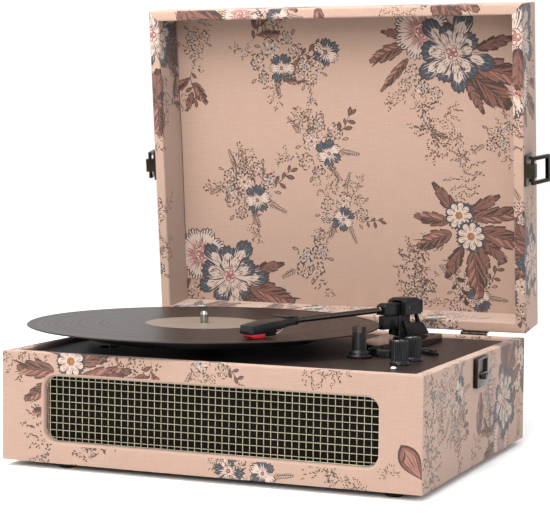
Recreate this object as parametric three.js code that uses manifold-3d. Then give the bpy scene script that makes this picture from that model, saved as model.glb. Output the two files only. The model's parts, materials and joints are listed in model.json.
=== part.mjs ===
// Suitcase record player: a cloth-covered case with a hinged lid, a belt-driven platter and a tonearm.
// Millimetres, +Z up, +X to the right, +Y away from the front. Case heights are measured from the
// underside of the base box, and the root group at the end moves the whole model onto its feet.
import * as THREE from 'three';
import { mergeVertices } from 'three/addons/utils/BufferGeometryUtils.js';
import Module from 'manifold-3d';

const wasm = await Module();
wasm.setup();

// ---------------------------------------------------------------- driving dimensions

const clearance = 0.3;
const degrees = Math.PI / 180;
const roundSteps = 32;

const caseWidth = 355.3;
const caseDepth = 287.7;
const baseHeight = 88.8;
const boardThickness = 9.3;
const bottomThickness = 6;
const halfWidth = caseWidth / 2;

const lidHeight = 44.5;
const lidTopThickness = 5.5;
const lidOpenAngle = 83.68 * degrees;
const rimGap = 1;
const hingeY = caseDepth + 2.3;
const hingeZ = baseHeight + rimGap / 2;

const footRadius = 7.3;
const footHeight = 5;
const footColumns = { left: -127, right: 151 };
const footInset = 16;

const deckThickness = 4;
const deckTop = baseHeight - 3;
const deckUnderside = deckTop - deckThickness;

const grilleOpening = { left: -139.8, right: 143, bottom: 17.3, top: 70.8, radius: 10 };
const grilleThickness = 1.5;
const grilleMargin = 7;
const grilleFront = 4;
const speakerX = 84;
const speakerZ = 45;

const spindleX = -64.5;
const spindleY = 142;
const spindleRadius = 3.5;
const spindleTop = baseHeight + 25.2;
const platterRadius = 100;
const platterTop = baseHeight + 11.9;
const platterUnderside = baseHeight + 3;
const matThickness = 1.2;
const beltRingRadius = 65;
const pulleyRadius = 6;
const pulleyReach = 84;
const pulleyAngle = 225 * degrees;
const beltThickness = 1.2;
const beltHeight = 4;
const beltBottom = baseHeight + 2.5;

const armPivotX = 86.2;
const armPivotY = 217.3;
const armAngle = -21.2 * degrees;
const armTiltHeight = 28.7;
const tubeRadius = 2.4;
const tubeStart = [0, -14, armTiltHeight - 1];
const tubeFront = 133;
const tubeDroop = 0.9 * degrees;
const headshellReach = 190.5;
const plinthTop = 3.5;
// The cueing lever's axle, as [back, up] in the tonearm's frame.
const cueAxle = [-1, 7.2];
const restPost = { x: 89.5, y: 105, top: 22.5 };

const knobRadius = 6.9;
const knobTop = 16.1;
const knobs = { volume: [133.2, 77], pitch: [134.4, 106] };
const selector = { x: 124, y: 160, angle: 45 * degrees, reach: 31 };

const latchY = 144;
const latchPivotOut = 7;
const latchPivotUp = 4.2;
const loopLength = 26;
const loopWidth = 24.3;
const loopBar = 3.2;
const loopLean = 15.7 * degrees;

const hingeX = 131;
const hingeWidth = 24;
const knuckleRadius = 2.1;
const hingePinRadius = 1;

// ---------------------------------------------------------------- materials

function finish(color, roughness, metalness = 0) {
  return new THREE.MeshStandardMaterial({ color, roughness, metalness });
}

const cloth = finish(0xdeb49e, 0.9);
const lining = finish(0x2a2422, 0.95);
const deckVinyl = finish(0x3c2d2a, 0.5);
const blackPlastic = finish(0x141414, 0.4);
const glossPlastic = finish(0x0c0c0c, 0.15);
const rubber = finish(0x101010, 0.8);
const grilleMetal = finish(0x8f7c60, 0.4, 0.9);
const bronze = finish(0x4b4432, 0.45, 0.9);
const steel = finish(0xb8b8b4, 0.25, 1);
const gunmetal = finish(0x57523f, 0.35, 0.9);
const felt = finish(0x1c1c1e, 1);
const redPlastic = finish(0xc01822, 0.3);
const circuitGreen = finish(0x1d5a34, 0.6);
const paperCone = finish(0x1a1a1a, 0.9);
const lampLens = finish(0xdcdcdc, 0.2);

// ---------------------------------------------------------------- solids

/** Welds a geometry's vertices and turns its faces outward. */
function closed(geometry) {
  geometry.deleteAttribute('normal');
  geometry.deleteAttribute('uv');
  const welded = mergeVertices(geometry.index ? geometry.toNonIndexed() : geometry, 1e-4);
  const position = welded.getAttribute('position');
  const index = Array.from(welded.index.array);
  const corners = [new THREE.Vector3(), new THREE.Vector3(), new THREE.Vector3()];
  const kept = [];
  let volume = 0;
  for (let i = 0; i < index.length; i += 3) {
    const [a, b, c] = index.slice(i, i + 3);
    if (a === b || b === c || c === a) continue;
    corners.forEach((corner, n) => corner.fromBufferAttribute(position, [a, b, c][n]));
    volume += corners[0].dot(corners[1].clone().cross(corners[2]));
    kept.push(a, b, c);
  }
  if (volume < 0) {
    kept.reverse();
  }
  welded.setIndex(kept);
  return welded;
}

function toManifold(geometry) {
  const solid = closed(geometry);
  const vertProperties = new Float32Array(solid.getAttribute('position').array);
  const triVerts = new Uint32Array(solid.index.array);
  return new wasm.Manifold(new wasm.Mesh({ numProp: 3, vertProperties, triVerts }));
}

function fromManifold(manifold) {
  const { vertProperties, triVerts } = manifold.getMesh();
  const geometry = new THREE.BufferGeometry();
  geometry.setAttribute('position', new THREE.BufferAttribute(vertProperties, 3));
  geometry.setIndex(new THREE.BufferAttribute(triVerts, 1));
  return geometry;
}

function cut(geometry, ...tools) {
  return fromManifold(tools.reduce((solid, tool) => solid.subtract(toManifold(tool)), toManifold(geometry)));
}

function join(geometry, ...others) {
  return fromManifold(others.reduce((solid, other) => solid.add(toManifold(other)), toManifold(geometry)));
}

function common(geometry, other) {
  return fromManifold(toManifold(geometry).intersect(toManifold(other)));
}

function box([x0, y0, z0], [x1, y1, z1]) {
  const geometry = new THREE.BoxGeometry(x1 - x0, y1 - y0, z1 - z0);
  return geometry.translate((x0 + x1) / 2, (y0 + y1) / 2, (z0 + z1) / 2);
}

function rod(radius, z0, z1, steps = roundSteps) {
  const geometry = new THREE.CylinderGeometry(radius, radius, z1 - z0, steps);
  return geometry.rotateX(Math.PI / 2).translate(0, 0, (z0 + z1) / 2);
}

/** A cylinder along X between x0 and x1. */
function crossRod(radius, x0, x1, y, z, steps = roundSteps) {
  return rod(radius, x0, x1, steps).rotateY(Math.PI / 2).translate(0, y, z);
}

/** A solid turned about Z, from [radius, height] pairs. */
function turned(profile, steps = roundSteps) {
  const points = profile.map(([radius, height]) => new THREE.Vector2(radius, height));
  return new THREE.LatheGeometry(points, steps).rotateX(Math.PI / 2);
}

function plate(shape, z0, z1, curveSegments = 8) {
  const options = { depth: z1 - z0, bevelEnabled: false, curveSegments };
  return new THREE.ExtrudeGeometry(shape, options).translate(0, 0, z0);
}

function outline(points) {
  return new THREE.Shape(points.map(([x, y]) => new THREE.Vector2(x, y)));
}

/** A [y, z] outline drawn out along X between x0 and x1. */
function sideProfile(points, x0, x1) {
  return plate(outline(points), x0, x1).rotateX(Math.PI / 2).rotateZ(Math.PI / 2);
}

/** An [x, z] outline drawn out along Y between y0 and y1. */
function frontProfile(points, y0, y1) {
  return plate(outline(points), -y1, -y0).rotateX(Math.PI / 2);
}

function roundedRectangle(left, right, bottom, top, radius) {
  const shape = new THREE.Shape();
  shape.absarc(right - radius, bottom + radius, radius, -Math.PI / 2, 0);
  shape.absarc(right - radius, top - radius, radius, 0, Math.PI / 2);
  shape.absarc(left + radius, top - radius, radius, Math.PI / 2, Math.PI);
  shape.absarc(left + radius, bottom + radius, radius, Math.PI, 1.5 * Math.PI);
  return shape;
}

function circleHole(x, y, radius) {
  const hole = new THREE.Path();
  hole.absarc(x, y, radius, 0, 2 * Math.PI, true);
  return hole;
}

function add(group, name, geometry, material) {
  const mesh = new THREE.Mesh(closed(geometry), material);
  mesh.name = name;
  group.add(mesh);
  return mesh;
}

// ---------------------------------------------------------------- case boards

/** The four sides of a box: where each wall's outer face is centred, and how far it is turned. */
const wallSides = {
  front: { length: caseWidth, x: 0, y: 0, turn: 0 },
  right: { length: caseDepth, x: halfWidth, y: caseDepth / 2, turn: Math.PI / 2 },
  rear: { length: caseWidth, x: 0, y: caseDepth, turn: Math.PI },
  left: { length: caseDepth, x: -halfWidth, y: caseDepth / 2, turn: -Math.PI / 2 },
};

/** A board with mitred ends, its outer face on the local X axis. */
function mitredBoard(length, z0, z1) {
  const outer = length / 2 - clearance;
  const inner = outer - boardThickness;
  const points = [[-outer, 0], [outer, 0], [inner, boardThickness], [-inner, boardThickness]];
  return plate(outline(points), z0, z1);
}

function placeOnSide(mesh, side) {
  mesh.position.set(side.x, side.y, 0);
  mesh.rotation.z = side.turn;
}

/** A panel the shape of the grille's opening, drawn in by an inset, between y0 and y1. */
function grillePanel(inset, y0, y1) {
  const { left, right, bottom, top, radius } = grilleOpening;
  const shape = roundedRectangle(left + inset, right - inset, inset - top, -bottom - inset, radius - inset);
  return plate(shape, y0, y1).rotateX(-Math.PI / 2);
}

function buildBaseBox(root) {
  const grilleWindow = grillePanel(0, -1, boardThickness + 1);
  const socketWindow = box([-110, -1, 27], [-50, boardThickness + 1, 55]);
  const boards = {
    front: cut(mitredBoard(caseWidth, 0, baseHeight), grilleWindow),
    rear: cut(mitredBoard(caseWidth, 0, baseHeight), socketWindow),
    left: mitredBoard(caseDepth, 0, baseHeight),
    right: mitredBoard(caseDepth, 0, baseHeight),
  };
  for (const [name, side] of Object.entries(wallSides)) {
    placeOnSide(add(root, `base_${name}_board`, boards[name], cloth), side);
  }
  const inset = boardThickness + clearance;
  const innerX = halfWidth - inset;
  const bottomPanel = box([-innerX, inset, 0], [innerX, caseDepth - inset, bottomThickness]);
  add(root, 'base_bottom_board', bottomPanel, lining);
}

function buildFeet(root) {
  for (const [side, x] of Object.entries(footColumns)) {
    for (const [end, y] of Object.entries({ front: footInset, rear: caseDepth - footInset })) {
      const profile = [
        [0, -footHeight], [footRadius - 1, -footHeight], [footRadius, 1 - footHeight],
        [footRadius, -clearance], [0, -clearance],
      ];
      add(root, `foot_${end}_${side}`, turned(profile, 24), rubber).position.set(x, y, 0);
    }
  }
}

/** The plate in the rear board's window: two line-out barrels and a power socket open to the outside. */
function buildSocketPlate(root) {
  const plateY = caseDepth - 2;
  const slab = box([50.5, plateY, 27.5], [109.5, caseDepth - 0.5, 54.5]);
  const powerBody = box([88.5, plateY - 10, 33.5], [103.5, plateY + 0.2, 48.5]);
  const powerBore = rod(3.5, 0, 14, 16).rotateX(Math.PI / 2).translate(96, caseDepth + 4, 41);
  const barrels = [62, 76].map((x) => rod(4, 0, 8, 16).rotateX(Math.PI / 2).translate(x, caseDepth + 7, 41));
  add(root, 'rear_socket_plate', cut(join(slab, powerBody, ...barrels), powerBore), blackPlastic);
}

// ---------------------------------------------------------------- lid

/** Lid pieces sit in a group on the hinge axis, with heights above the closed rim. */
function makeLidGroup(root) {
  const swing = new THREE.Group();
  swing.position.set(0, hingeY, hingeZ);
  swing.rotation.x = -lidOpenAngle;
  const lid = new THREE.Group();
  lid.position.set(0, -hingeY, 0);
  swing.add(lid);
  root.add(swing);
  return lid;
}

function buildLidBox(lid) {
  const wallTop = lidHeight - lidTopThickness - clearance;
  for (const [name, side] of Object.entries(wallSides)) {
    placeOnSide(add(lid, `lid_${name}_board`, mitredBoard(side.length, rimGap / 2, wallTop), cloth), side);
  }
  const topPanel = box([-halfWidth, 0, lidHeight - lidTopThickness], [halfWidth, caseDepth, lidHeight]);
  add(lid, 'lid_top_board', topPanel, cloth);
}

// ---------------------------------------------------------------- hinges

/** One hinge leaf seen along X: a plate on the rear face and a knuckle around the pin. */
function hingeLeaf(x0, x1, leafX0, leafX1, direction) {
  const faceY = caseDepth - hingeY + clearance;
  const near = direction * 2.6;
  const far = direction * 20;
  const [z0, z1] = [Math.min(near, far), Math.max(near, far)];
  const sheet = box([leafX0, faceY, z0], [leafX1, faceY + 1.2, z1]);
  const web = box([x0, faceY, Math.min(0, near * 1.2)], [x1, faceY + 1.2, Math.max(0, near * 1.2)]);
  const knuckle = crossRod(knuckleRadius, x0, x1, 0, 0, 16);
  return join(sheet, web, knuckle);
}

function buildHinge(root, lid, name, x) {
  const half = hingeWidth / 2;
  const third = hingeWidth / 6;
  const bore = crossRod(hingePinRadius + clearance, -hingeWidth, hingeWidth, 0, 0, 16);
  const outerLeaf = join(
    hingeLeaf(-half, -third - clearance, -half, half, -1),
    hingeLeaf(third + clearance, half, -half, half, -1),
  );
  const baseLeaf = add(root, `hinge_${name}_base_leaf`, cut(outerLeaf, bore), bronze);
  baseLeaf.position.set(x, hingeY, hingeZ);
  const innerLeaf = cut(hingeLeaf(-third, third, -half, half, 1), bore);
  const lidLeaf = add(lid, `hinge_${name}_lid_leaf`, innerLeaf, bronze);
  lidLeaf.position.set(x, hingeY, 0);
  const pin = add(root, `hinge_${name}_pin`, crossRod(hingePinRadius, -half, half, 0, 0, 16), steel);
  pin.position.set(x, hingeY, hingeZ);
}

// ---------------------------------------------------------------- latches

/** Latch pieces are drawn for the right side, with X as the distance out from the case's side. */
function latchPlate() {
  const back = box([clearance, -13.5, 1], [1.6, 13.5, 26]);
  const knuckle = box([1, -6, 1], [latchPivotOut + 2.8, 6, 8.2]);
  const bore = rod(2, -7, 7, 16).rotateX(Math.PI / 2).translate(latchPivotOut, 0, latchPivotUp);
  const rivets = [-10, 10].map((y) => rod(1.6, 0, 2.4, 12).rotateY(Math.PI / 2).translate(0.5, y, 17));
  return cut(join(back, knuckle, ...rivets), bore);
}

/** The loop stands up from its pivot bar, which lies along Y through the origin. */
function latchLoop() {
  const half = loopWidth / 2;
  const bar = loopBar / 2;
  const pivotBar = rod(bar, -half, half, 16).rotateX(Math.PI / 2);
  const farBar = box([-bar, -half, loopLength - bar], [bar, half, loopLength + bar]);
  const sides = [-1, 1].map((side) => {
    const y = side * (half - bar);
    return box([-bar, y - bar, 0], [bar, y + bar, loopLength + bar]);
  });
  return join(pivotBar, farBar, ...sides);
}

/** The catch on the base: a raised plate with a recess above and a hook for the loop's far bar. */
function catchPlate() {
  const top = baseHeight - 1.3;
  const back = box([clearance, -16, top - 24], [4, 16, top]);
  const recess = box([1.6, -11.5, top - 12.5], [5, 11.5, top - 1.8]);
  const hook = box([3, -5.5, top - 17.6], [7.6, 5.5, top - 13.6]);
  return join(cut(back, recess), hook);
}

function buildLatch(root, lid, name, mirror) {
  const side = new THREE.Matrix4().makeScale(mirror, 1, 1);
  const x = mirror * halfWidth;
  const plateMesh = add(lid, `latch_${name}_plate`, latchPlate().applyMatrix4(side), bronze);
  plateMesh.position.set(x, latchY, 0);
  const loop = add(lid, `latch_${name}_loop`, latchLoop(), bronze);
  loop.position.set(x + mirror * latchPivotOut, latchY, latchPivotUp);
  loop.rotation.y = mirror * loopLean;
  const catchMesh = add(root, `latch_${name}_catch`, catchPlate().applyMatrix4(side), bronze);
  catchMesh.position.set(x, latchY, 0);
}

// ---------------------------------------------------------------- speakers and electronics

/** A flange behind the front board, with a shallow tray pressed forward into the opening. */
function buildGrille(root) {
  const { left, right, bottom, top } = grilleOpening;
  const y0 = boardThickness + clearance;
  const y1 = y0 + grilleThickness;
  const low = [left - grilleMargin, y0, bottom - grilleMargin];
  const high = [right + grilleMargin, y1, top + grilleMargin];
  const tray = grillePanel(clearance, grilleFront, y1);
  const hollow = grillePanel(clearance + grilleThickness, grilleFront + grilleThickness, y1 + 1);
  add(root, 'speaker_grille', cut(join(box(low, high), tray), hollow), grilleMetal);
  const clothLow = [low[0], y1 + clearance, low[2]];
  const clothHigh = [high[0], y1 + clearance + 1, high[2]];
  add(root, 'grille_cloth', box(clothLow, clothHigh), lining);
}

/** A paper-cone driver with its dished front at local height 0 and its magnet behind. */
function speakerSolid() {
  const profile = [
    [0, 12], [7, 14], [9, 15], [26, 4], [29, 3], [31, 0.8], [35, 0], [35, 2.4], [31, 3.4],
    [17, 21], [22, 22], [22, 34], [0, 34],
  ];
  return turned(profile, 28);
}

function buildSpeakers(root) {
  const faceY = boardThickness + grilleThickness + 3 * clearance + 1.4;
  for (const [name, x] of Object.entries({ left: -speakerX, right: speakerX })) {
    const speaker = add(root, `speaker_${name}`, speakerSolid(), paperCone);
    speaker.position.set(x, faceY, speakerZ);
    speaker.rotation.x = -Math.PI / 2;
  }
}

function buildElectronics(root) {
  const board = box([20, 190, 12], [110, 255, 13.6]);
  const parts = [
    box([30, 200, 13], [46, 216, 26]),
    box([54, 232, 13], [100, 246, 19]),
    ...[[26, 196], [104, 196], [26, 249], [104, 249]].map(([x, y]) => (
      rod(3, bottomThickness + clearance, 13, 12).translate(x, y, 0))),
  ];
  add(root, 'amplifier_board', join(board, ...parts), circuitGreen);
}

// ---------------------------------------------------------------- deck and drive

function pulleyPoint() {
  return [spindleX + pulleyReach * Math.cos(pulleyAngle), spindleY + pulleyReach * Math.sin(pulleyAngle)];
}

function buildDeck(root) {
  const inset = boardThickness + clearance;
  const shape = roundedRectangle(
    inset - halfWidth, halfWidth - inset, inset, caseDepth - inset, 1);
  shape.holes.push(circleHole(spindleX, spindleY, 8.3));
  shape.holes.push(circleHole(...pulleyPoint(), 9));
  shape.holes.push(circleHole(selector.x, selector.y, 3));
  for (const [x, y] of Object.values(knobs)) {
    shape.holes.push(circleHole(x, y, 3.6));
  }
  add(root, 'deck_plate', plate(shape, deckUnderside, deckTop), deckVinyl);
}

/** The platter is a thin rim round a drum that the belt runs on, over a hub on the spindle. */
function buildPlatter(root) {
  const bore = spindleRadius + clearance;
  const webUnderside = platterTop - 2.4;
  const hubBottom = baseHeight + 0.3;
  const skirt = platterRadius - 2;
  const hubRadius = 9;
  const drumBottom = baseHeight + 1.2;
  const platterProfile = [
    [bore, platterTop], [platterRadius - 0.8, platterTop], [platterRadius, platterTop - 0.8],
    [platterRadius, platterUnderside], [skirt, platterUnderside], [skirt, webUnderside],
    [beltRingRadius, webUnderside], [beltRingRadius, drumBottom], [hubRadius, drumBottom],
    [hubRadius, hubBottom], [bore, hubBottom], [bore, platterTop],
  ];
  const matBottom = platterTop + clearance / 3;
  const matTop = matBottom + matThickness;
  const matRadius = platterRadius - 3;
  const matProfile = [
    [bore, matBottom], [matRadius, matBottom], [matRadius, matTop], [bore, matTop], [bore, matBottom],
  ];
  const spindleProfile = [
    [0, baseHeight - 22], [spindleRadius, baseHeight - 22], [spindleRadius, spindleTop - 2.5],
    [spindleRadius * 0.8, spindleTop - 0.8], [spindleRadius * 0.4, spindleTop - 0.1], [0, spindleTop],
  ];
  add(root, 'platter', turned(platterProfile, 64), blackPlastic).position.set(spindleX, spindleY, 0);
  add(root, 'slip_mat', turned(matProfile, 64), felt).position.set(spindleX, spindleY, 0);
  add(root, 'spindle', turned(spindleProfile, 24), steel).position.set(spindleX, spindleY, 0);
}

function buildBearing(root) {
  const bore = spindleRadius + clearance;
  const flangeBottom = deckTop + clearance;
  const profile = [
    [bore, baseHeight - 0.5], [7, baseHeight - 0.5], [7, flangeBottom + 1.6], [12, flangeBottom + 1.6],
    [12, flangeBottom], [8, flangeBottom], [8, baseHeight - 20], [bore, baseHeight - 20],
    [bore, baseHeight - 0.5],
  ];
  add(root, 'platter_bearing', turned(profile), steel).position.set(spindleX, spindleY, 0);
}

/** The outline of a belt around two pulleys, the large one at the origin and the small one on +X. */
function beltOutline(path, large, small, reach) {
  const tangent = Math.acos((large - small) / reach);
  path.absarc(0, 0, large, tangent, 2 * Math.PI - tangent);
  path.absarc(reach, 0, small, -tangent, tangent);
  return path;
}

function buildDrive(root) {
  const [x, y] = pulleyPoint();
  const inner = [beltRingRadius + clearance, pulleyRadius + clearance];
  const outer = inner.map((radius) => radius + beltThickness);
  const shape = beltOutline(new THREE.Shape(), ...outer, pulleyReach);
  shape.holes.push(beltOutline(new THREE.Path(), ...inner, pulleyReach));
  const belt = add(root, 'drive_belt', plate(shape, beltBottom, beltBottom + beltHeight, 18), rubber);
  belt.position.set(spindleX, spindleY, 0);
  belt.rotation.z = pulleyAngle;

  const flange = pulleyRadius + 1.2;
  const grooveBottom = beltBottom - clearance;
  const grooveTop = beltBottom + beltHeight + clearance;
  const shaftBottom = deckUnderside + clearance;
  const pulleyProfile = [
    [0, shaftBottom], [1.2, shaftBottom], [1.2, grooveBottom - 1], [flange, grooveBottom - 1],
    [flange, grooveBottom], [pulleyRadius, grooveBottom], [pulleyRadius, grooveTop], [flange, grooveTop],
    [flange, grooveTop + 0.8], [0, grooveTop + 0.8],
  ];
  add(root, 'motor_pulley', turned(pulleyProfile, 24), steel).position.set(x, y, 0);
  const motorProfile = [
    [0, deckUnderside - 28], [6, deckUnderside - 28], [6, deckUnderside - 26], [16.5, deckUnderside - 26],
    [16.5, deckUnderside - clearance], [0, deckUnderside - clearance],
  ];
  add(root, 'drive_motor', turned(motorProfile), steel).position.set(x, y, 0);
}

// ---------------------------------------------------------------- tonearm

/** The moulded slab that the tonearm stands on, with its front left corner cut round the rest post. */
function buildArmPlinth(root) {
  const shape = new THREE.Shape();
  shape.moveTo(102, 112);
  shape.lineTo(111, 112);
  shape.absarc(111, 115, 3, -Math.PI / 2, 0);
  shape.absarc(111, 249, 3, 0, Math.PI / 2);
  shape.absarc(74, 248, 4, Math.PI / 2, Math.PI);
  shape.absarc(82, 162, 12, Math.PI, 1.25 * Math.PI);
  shape.lineTo(92, 136);
  shape.absarc(restPost.x, restPost.y, 14.5, 80 * degrees, 30 * degrees, true);
  const slab = plate(shape, deckTop + clearance, baseHeight + plinthTop);
  add(root, 'tonearm_plinth', slab, glossPlastic);
}

function buildRestPost(root) {
  const bottom = deckTop + clearance;
  const top = baseHeight + restPost.top;
  const turnedPost = turned([
    [0, bottom], [10.4, bottom], [10.4, bottom + 1.8], [8.6, bottom + 2.6], [8.4, bottom + 4.6],
    [5.9, bottom + 6], [5.9, top], [0, top],
  ], 28);
  const notch = box([-3.5, -8, top - 5], [3.5, 8, top + 1]);
  const post = add(root, 'tonearm_rest_post', cut(turnedPost, notch), blackPlastic);
  post.position.set(restPost.x, restPost.y, 0);
}

/** Tonearm pieces share a frame at the pivot: -Y runs along the arm to the stylus, Z from the rim. */
function makeArmGroup(root) {
  const arm = new THREE.Group();
  arm.position.set(armPivotX, armPivotY, baseHeight);
  arm.rotation.z = armAngle;
  root.add(arm);
  return arm;
}

/** The fixed stand: a wedge behind the pivot column, with a thin strut up to the housing's rear. */
function buildArmBase(arm) {
  const bottom = plinthTop + clearance;
  const wedge = sideProfile([
    [-3, bottom], [32, bottom], [32, 5.5], [25.5, 13], [23, 14.5], [0, 14.5], [-3, 9],
  ], -5.5, 5.5);
  const strut = sideProfile([[22.8, 13], [27, 10.5], [21.9, 21.7], [20, 21.7]], -1.6, 1.6);
  const column = rod(5, bottom, 22, 24);
  const rib = box([-3.5, 0, bottom], [3.5, 9, 21.7]);
  const stub = rod(3, 21, 23.2, 16);
  const axle = crossRod(1.5, 5, 10.6, ...cueAxle, 12);
  add(arm, 'tonearm_pedestal', join(wedge, strut, column, rib, stub, axle), blackPlastic);
}

/** The housing that turns on the pedestal, and the web under the tube that turns with it. */
function buildArmCarriage(arm) {
  const bottom = 22.4;
  const top = 36.6;
  const side = sideProfile([
    [-5, bottom], [16.5, bottom], [16.5, 33.8], [13, top], [-1.5, top], [-5, 33.8],
  ], -10, 10);
  const front = frontProfile([
    [-9.7, bottom], [9.7, bottom], [9.7, 34.6], [7.2, top], [-7.2, top], [-9.7, 34.6],
  ], -8, 20);
  const socket = box([-5.2, -8, 24.8], [5.2, 8.5, 34.4]);
  const pinBore = crossRod(1.8, -12, 12, 2, armTiltHeight, 12);
  const bearingBore = rod(3.3, 20, 26, 16);
  const neck = box([-7, 16, 25.5], [7, 18, 32.5]);
  const endPlate = box([-9, 17.7, 23.4], [9, 19.4, 34.2]);
  const housing = cut(join(common(side, front), neck, endPlate), socket, pinBore, bearingBore);
  add(arm, 'tonearm_housing', housing, blackPlastic);
  add(arm, 'tonearm_pivot_pin', crossRod(1.5, -9.2, 9.2, 2, armTiltHeight, 12), gunmetal);

  const web = box([-2.8, -25.4, 10.5], [2.8, -5.6, 22.1]);
  const heel = box([-2, -13, 5.5], [2, -6.5, 11]);
  const padSlot = box([-1.6, -20, 13.7], [1.6, -15, 23]);
  add(arm, 'tonearm_front_bracket', cut(join(web, heel), padSlot), blackPlastic);
}

/** The part of the tonearm that tips up and down about the pivot pin. */
function buildArmWand(arm) {
  const block = common(
    sideProfile([[-25.8, 23], [-5.6, 23], [-5.6, 33], [-23, 33], [-25.8, 30.6]], -5, 5),
    frontProfile([[-4.8, 23], [4.8, 23], [4.8, 31.4], [3.2, 33], [-3.2, 33], [-4.8, 31.4]], -27, -4),
  );
  const tongue = box([-4.2, -6.5, 25.6], [4.2, 6.4, 32.4]);
  const pinBore = crossRod(1.8, -6, 6, 2, armTiltHeight, 12);
  const tubeRun = tubeFront + tubeStart[1];
  const tube = rod(tubeRadius, 0, tubeRun, 20).rotateX(Math.PI / 2 + tubeDroop).translate(...tubeStart);
  const tubeBore = rod(tubeRadius + clearance, -clearance, tubeRun, 20).rotateX(Math.PI / 2 + tubeDroop);
  tubeBore.translate(...tubeStart);
  add(arm, 'tonearm_holder', cut(join(block, tongue), pinBore, tubeBore), blackPlastic);
  add(arm, 'tonearm_tube', tube, gunmetal);
}

/** A plan outline that is widest by the cartridge and tapers to the neck. */
function headshellPlan() {
  return outline([
    [-3.8, -136], [-4, -145], [-8, -156], [-8.6, -174], [-7.4, -187.5], [-5, -headshellReach],
    [5, -headshellReach], [7.4, -187.5], [8.6, -174], [8, -156], [4, -145], [3.8, -136],
  ]);
}

function buildHeadshell(arm) {
  const side = sideProfile([
    [-136, 23], [-146, 22], [-headshellReach, 18.9], [-headshellReach, 21], [-188, 25], [-172, 27],
    [-160, 28], [-141, 28.4], [-136, 28],
  ], -12, 12);
  const underside = box([-6.6, -186, 15], [6.6, -158, 22.6]);
  const shell = cut(common(side, plate(headshellPlan(), 10, 40)), underside);
  const collarEnd = [0, -131.4, 25.86];
  const collar = rod(3.8, 0, 6, 20).rotateX(Math.PI / 2 + tubeDroop).translate(...collarEnd);
  const tubeSocket = rod(tubeRadius + clearance, -4, 2.4, 20).rotateX(Math.PI / 2 + tubeDroop);
  tubeSocket.translate(...collarEnd);
  add(arm, 'headshell', cut(join(shell, collar), tubeSocket), blackPlastic);

  const liftUnderside = 28.4 + clearance;
  const lift = box([-17, -144, liftUnderside], [2.5, -138, liftUnderside + 0.9]);
  add(arm, 'headshell_finger_lift', lift, blackPlastic);

  const body = box([-6.2, -185, 18.6], [6.2, -160, 22.2]);
  const heel = box([-5.4, -171, 16], [5.4, -160, 19]);
  add(arm, 'cartridge', join(body, heel), glossPlastic);

  const holder = sideProfile(
    [[-172, 18.3], [-172, 15.6], [-176, 15], [-184.6, 15], [-187.5, 16.6], [-187.5, 18.3]], -5.4, 5.4);
  const needle = box([-0.5, -184.5, 14.5], [0.5, -183.5, 15.5]);
  add(arm, 'stylus_holder', join(holder, needle), redPlastic);
}

/** The cueing lever beside the pedestal, and the pad that rises out of the web to lift the tube. */
function buildCueing(arm) {
  const [back, up] = cueAxle;
  const blade = sideProfile([
    [back - 2.6, up], [back - 1.8, up - 1.9], [back, up - 2.6], [back + 1.8, up - 1.9], [back + 2.6, up],
    [-5.2, 18.4], [-8, 17.6],
  ], 8, 10.8);
  add(arm, 'cue_lever', cut(blade, crossRod(1.8, 7, 12, back, up, 12)), blackPlastic);
  add(arm, 'tonearm_lift_bar', box([-1.3, -19.7, 14], [1.3, -15.3, 22.6]), blackPlastic);
}

// ---------------------------------------------------------------- controls

/** A circle with shallow flutes, for a finger-grip knob. */
function flutedCircle(radius, depth, flutes) {
  const points = [];
  for (let i = 0; i < flutes * 4; i += 1) {
    const angle = (i / (flutes * 4)) * 2 * Math.PI;
    const r = i % 4 < 2 ? radius : radius - depth;
    points.push([r * Math.cos(angle), r * Math.sin(angle)]);
  }
  return outline(points);
}

function buildKnob(root, name, [x, y]) {
  const skirtBottom = deckTop + clearance;
  const top = baseHeight + knobTop;
  const grip = plate(flutedCircle(knobRadius, 0.6, 20), skirtBottom + 1.6, top - 0.8);
  const skirt = rod(knobRadius + 0.8, skirtBottom, skirtBottom + 2);
  const cap = rod(knobRadius - 1, top - 1, top);
  const bore = rod(3.3, skirtBottom - 1, top - 5, 16);
  add(root, `${name}_knob`, cut(join(grip, skirt, cap), bore), blackPlastic).position.set(x, y, 0);
  const potProfile = [
    [0, deckUnderside - 14], [8, deckUnderside - 14], [8, deckUnderside - clearance],
    [3, deckUnderside - clearance], [3, top - 5.5], [0, top - 5.5],
  ];
  add(root, `${name}_potentiometer`, turned(potProfile, 20), steel).position.set(x, y, 0);
}

function buildIndicator(root) {
  const bottom = deckTop + clearance;
  const profile = [[0, bottom], [2.2, bottom], [2, bottom + 0.8], [1.2, bottom + 1.5], [0, bottom + 1.8]];
  add(root, 'indicator_lamp', turned(profile, 16), lampLens).position.set(137.7, 49.1, 0);
}

/** The speed selector: a flat pointer on a stem through the deck, with a raised finger tip. */
function buildSelector(root) {
  const bottom = deckTop + clearance;
  const { x, y, angle, reach } = selector;
  const hub = rod(6, bottom, bottom + 3.6, 24);
  const stem = rod(2.6, deckUnderside - 5, bottom + 1, 16);
  const arrow = outline([[0, -3.4], [reach - 8, -2.6], [reach, 0], [reach - 8, 2.6], [0, 3.4]]);
  const blade = plate(arrow, bottom + 0.6, bottom + 2.8);
  const tip = box([reach - 14, -2, bottom + 2], [reach - 7, 2, bottom + 4.6]);
  const lever = add(root, 'speed_selector', join(hub, stem, blade, tip), blackPlastic);
  lever.position.set(x, y, 0);
  lever.rotation.z = -angle;
}

// ---------------------------------------------------------------- assembly

const root = new THREE.Group();
const lid = makeLidGroup(root);
const arm = makeArmGroup(root);

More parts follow.
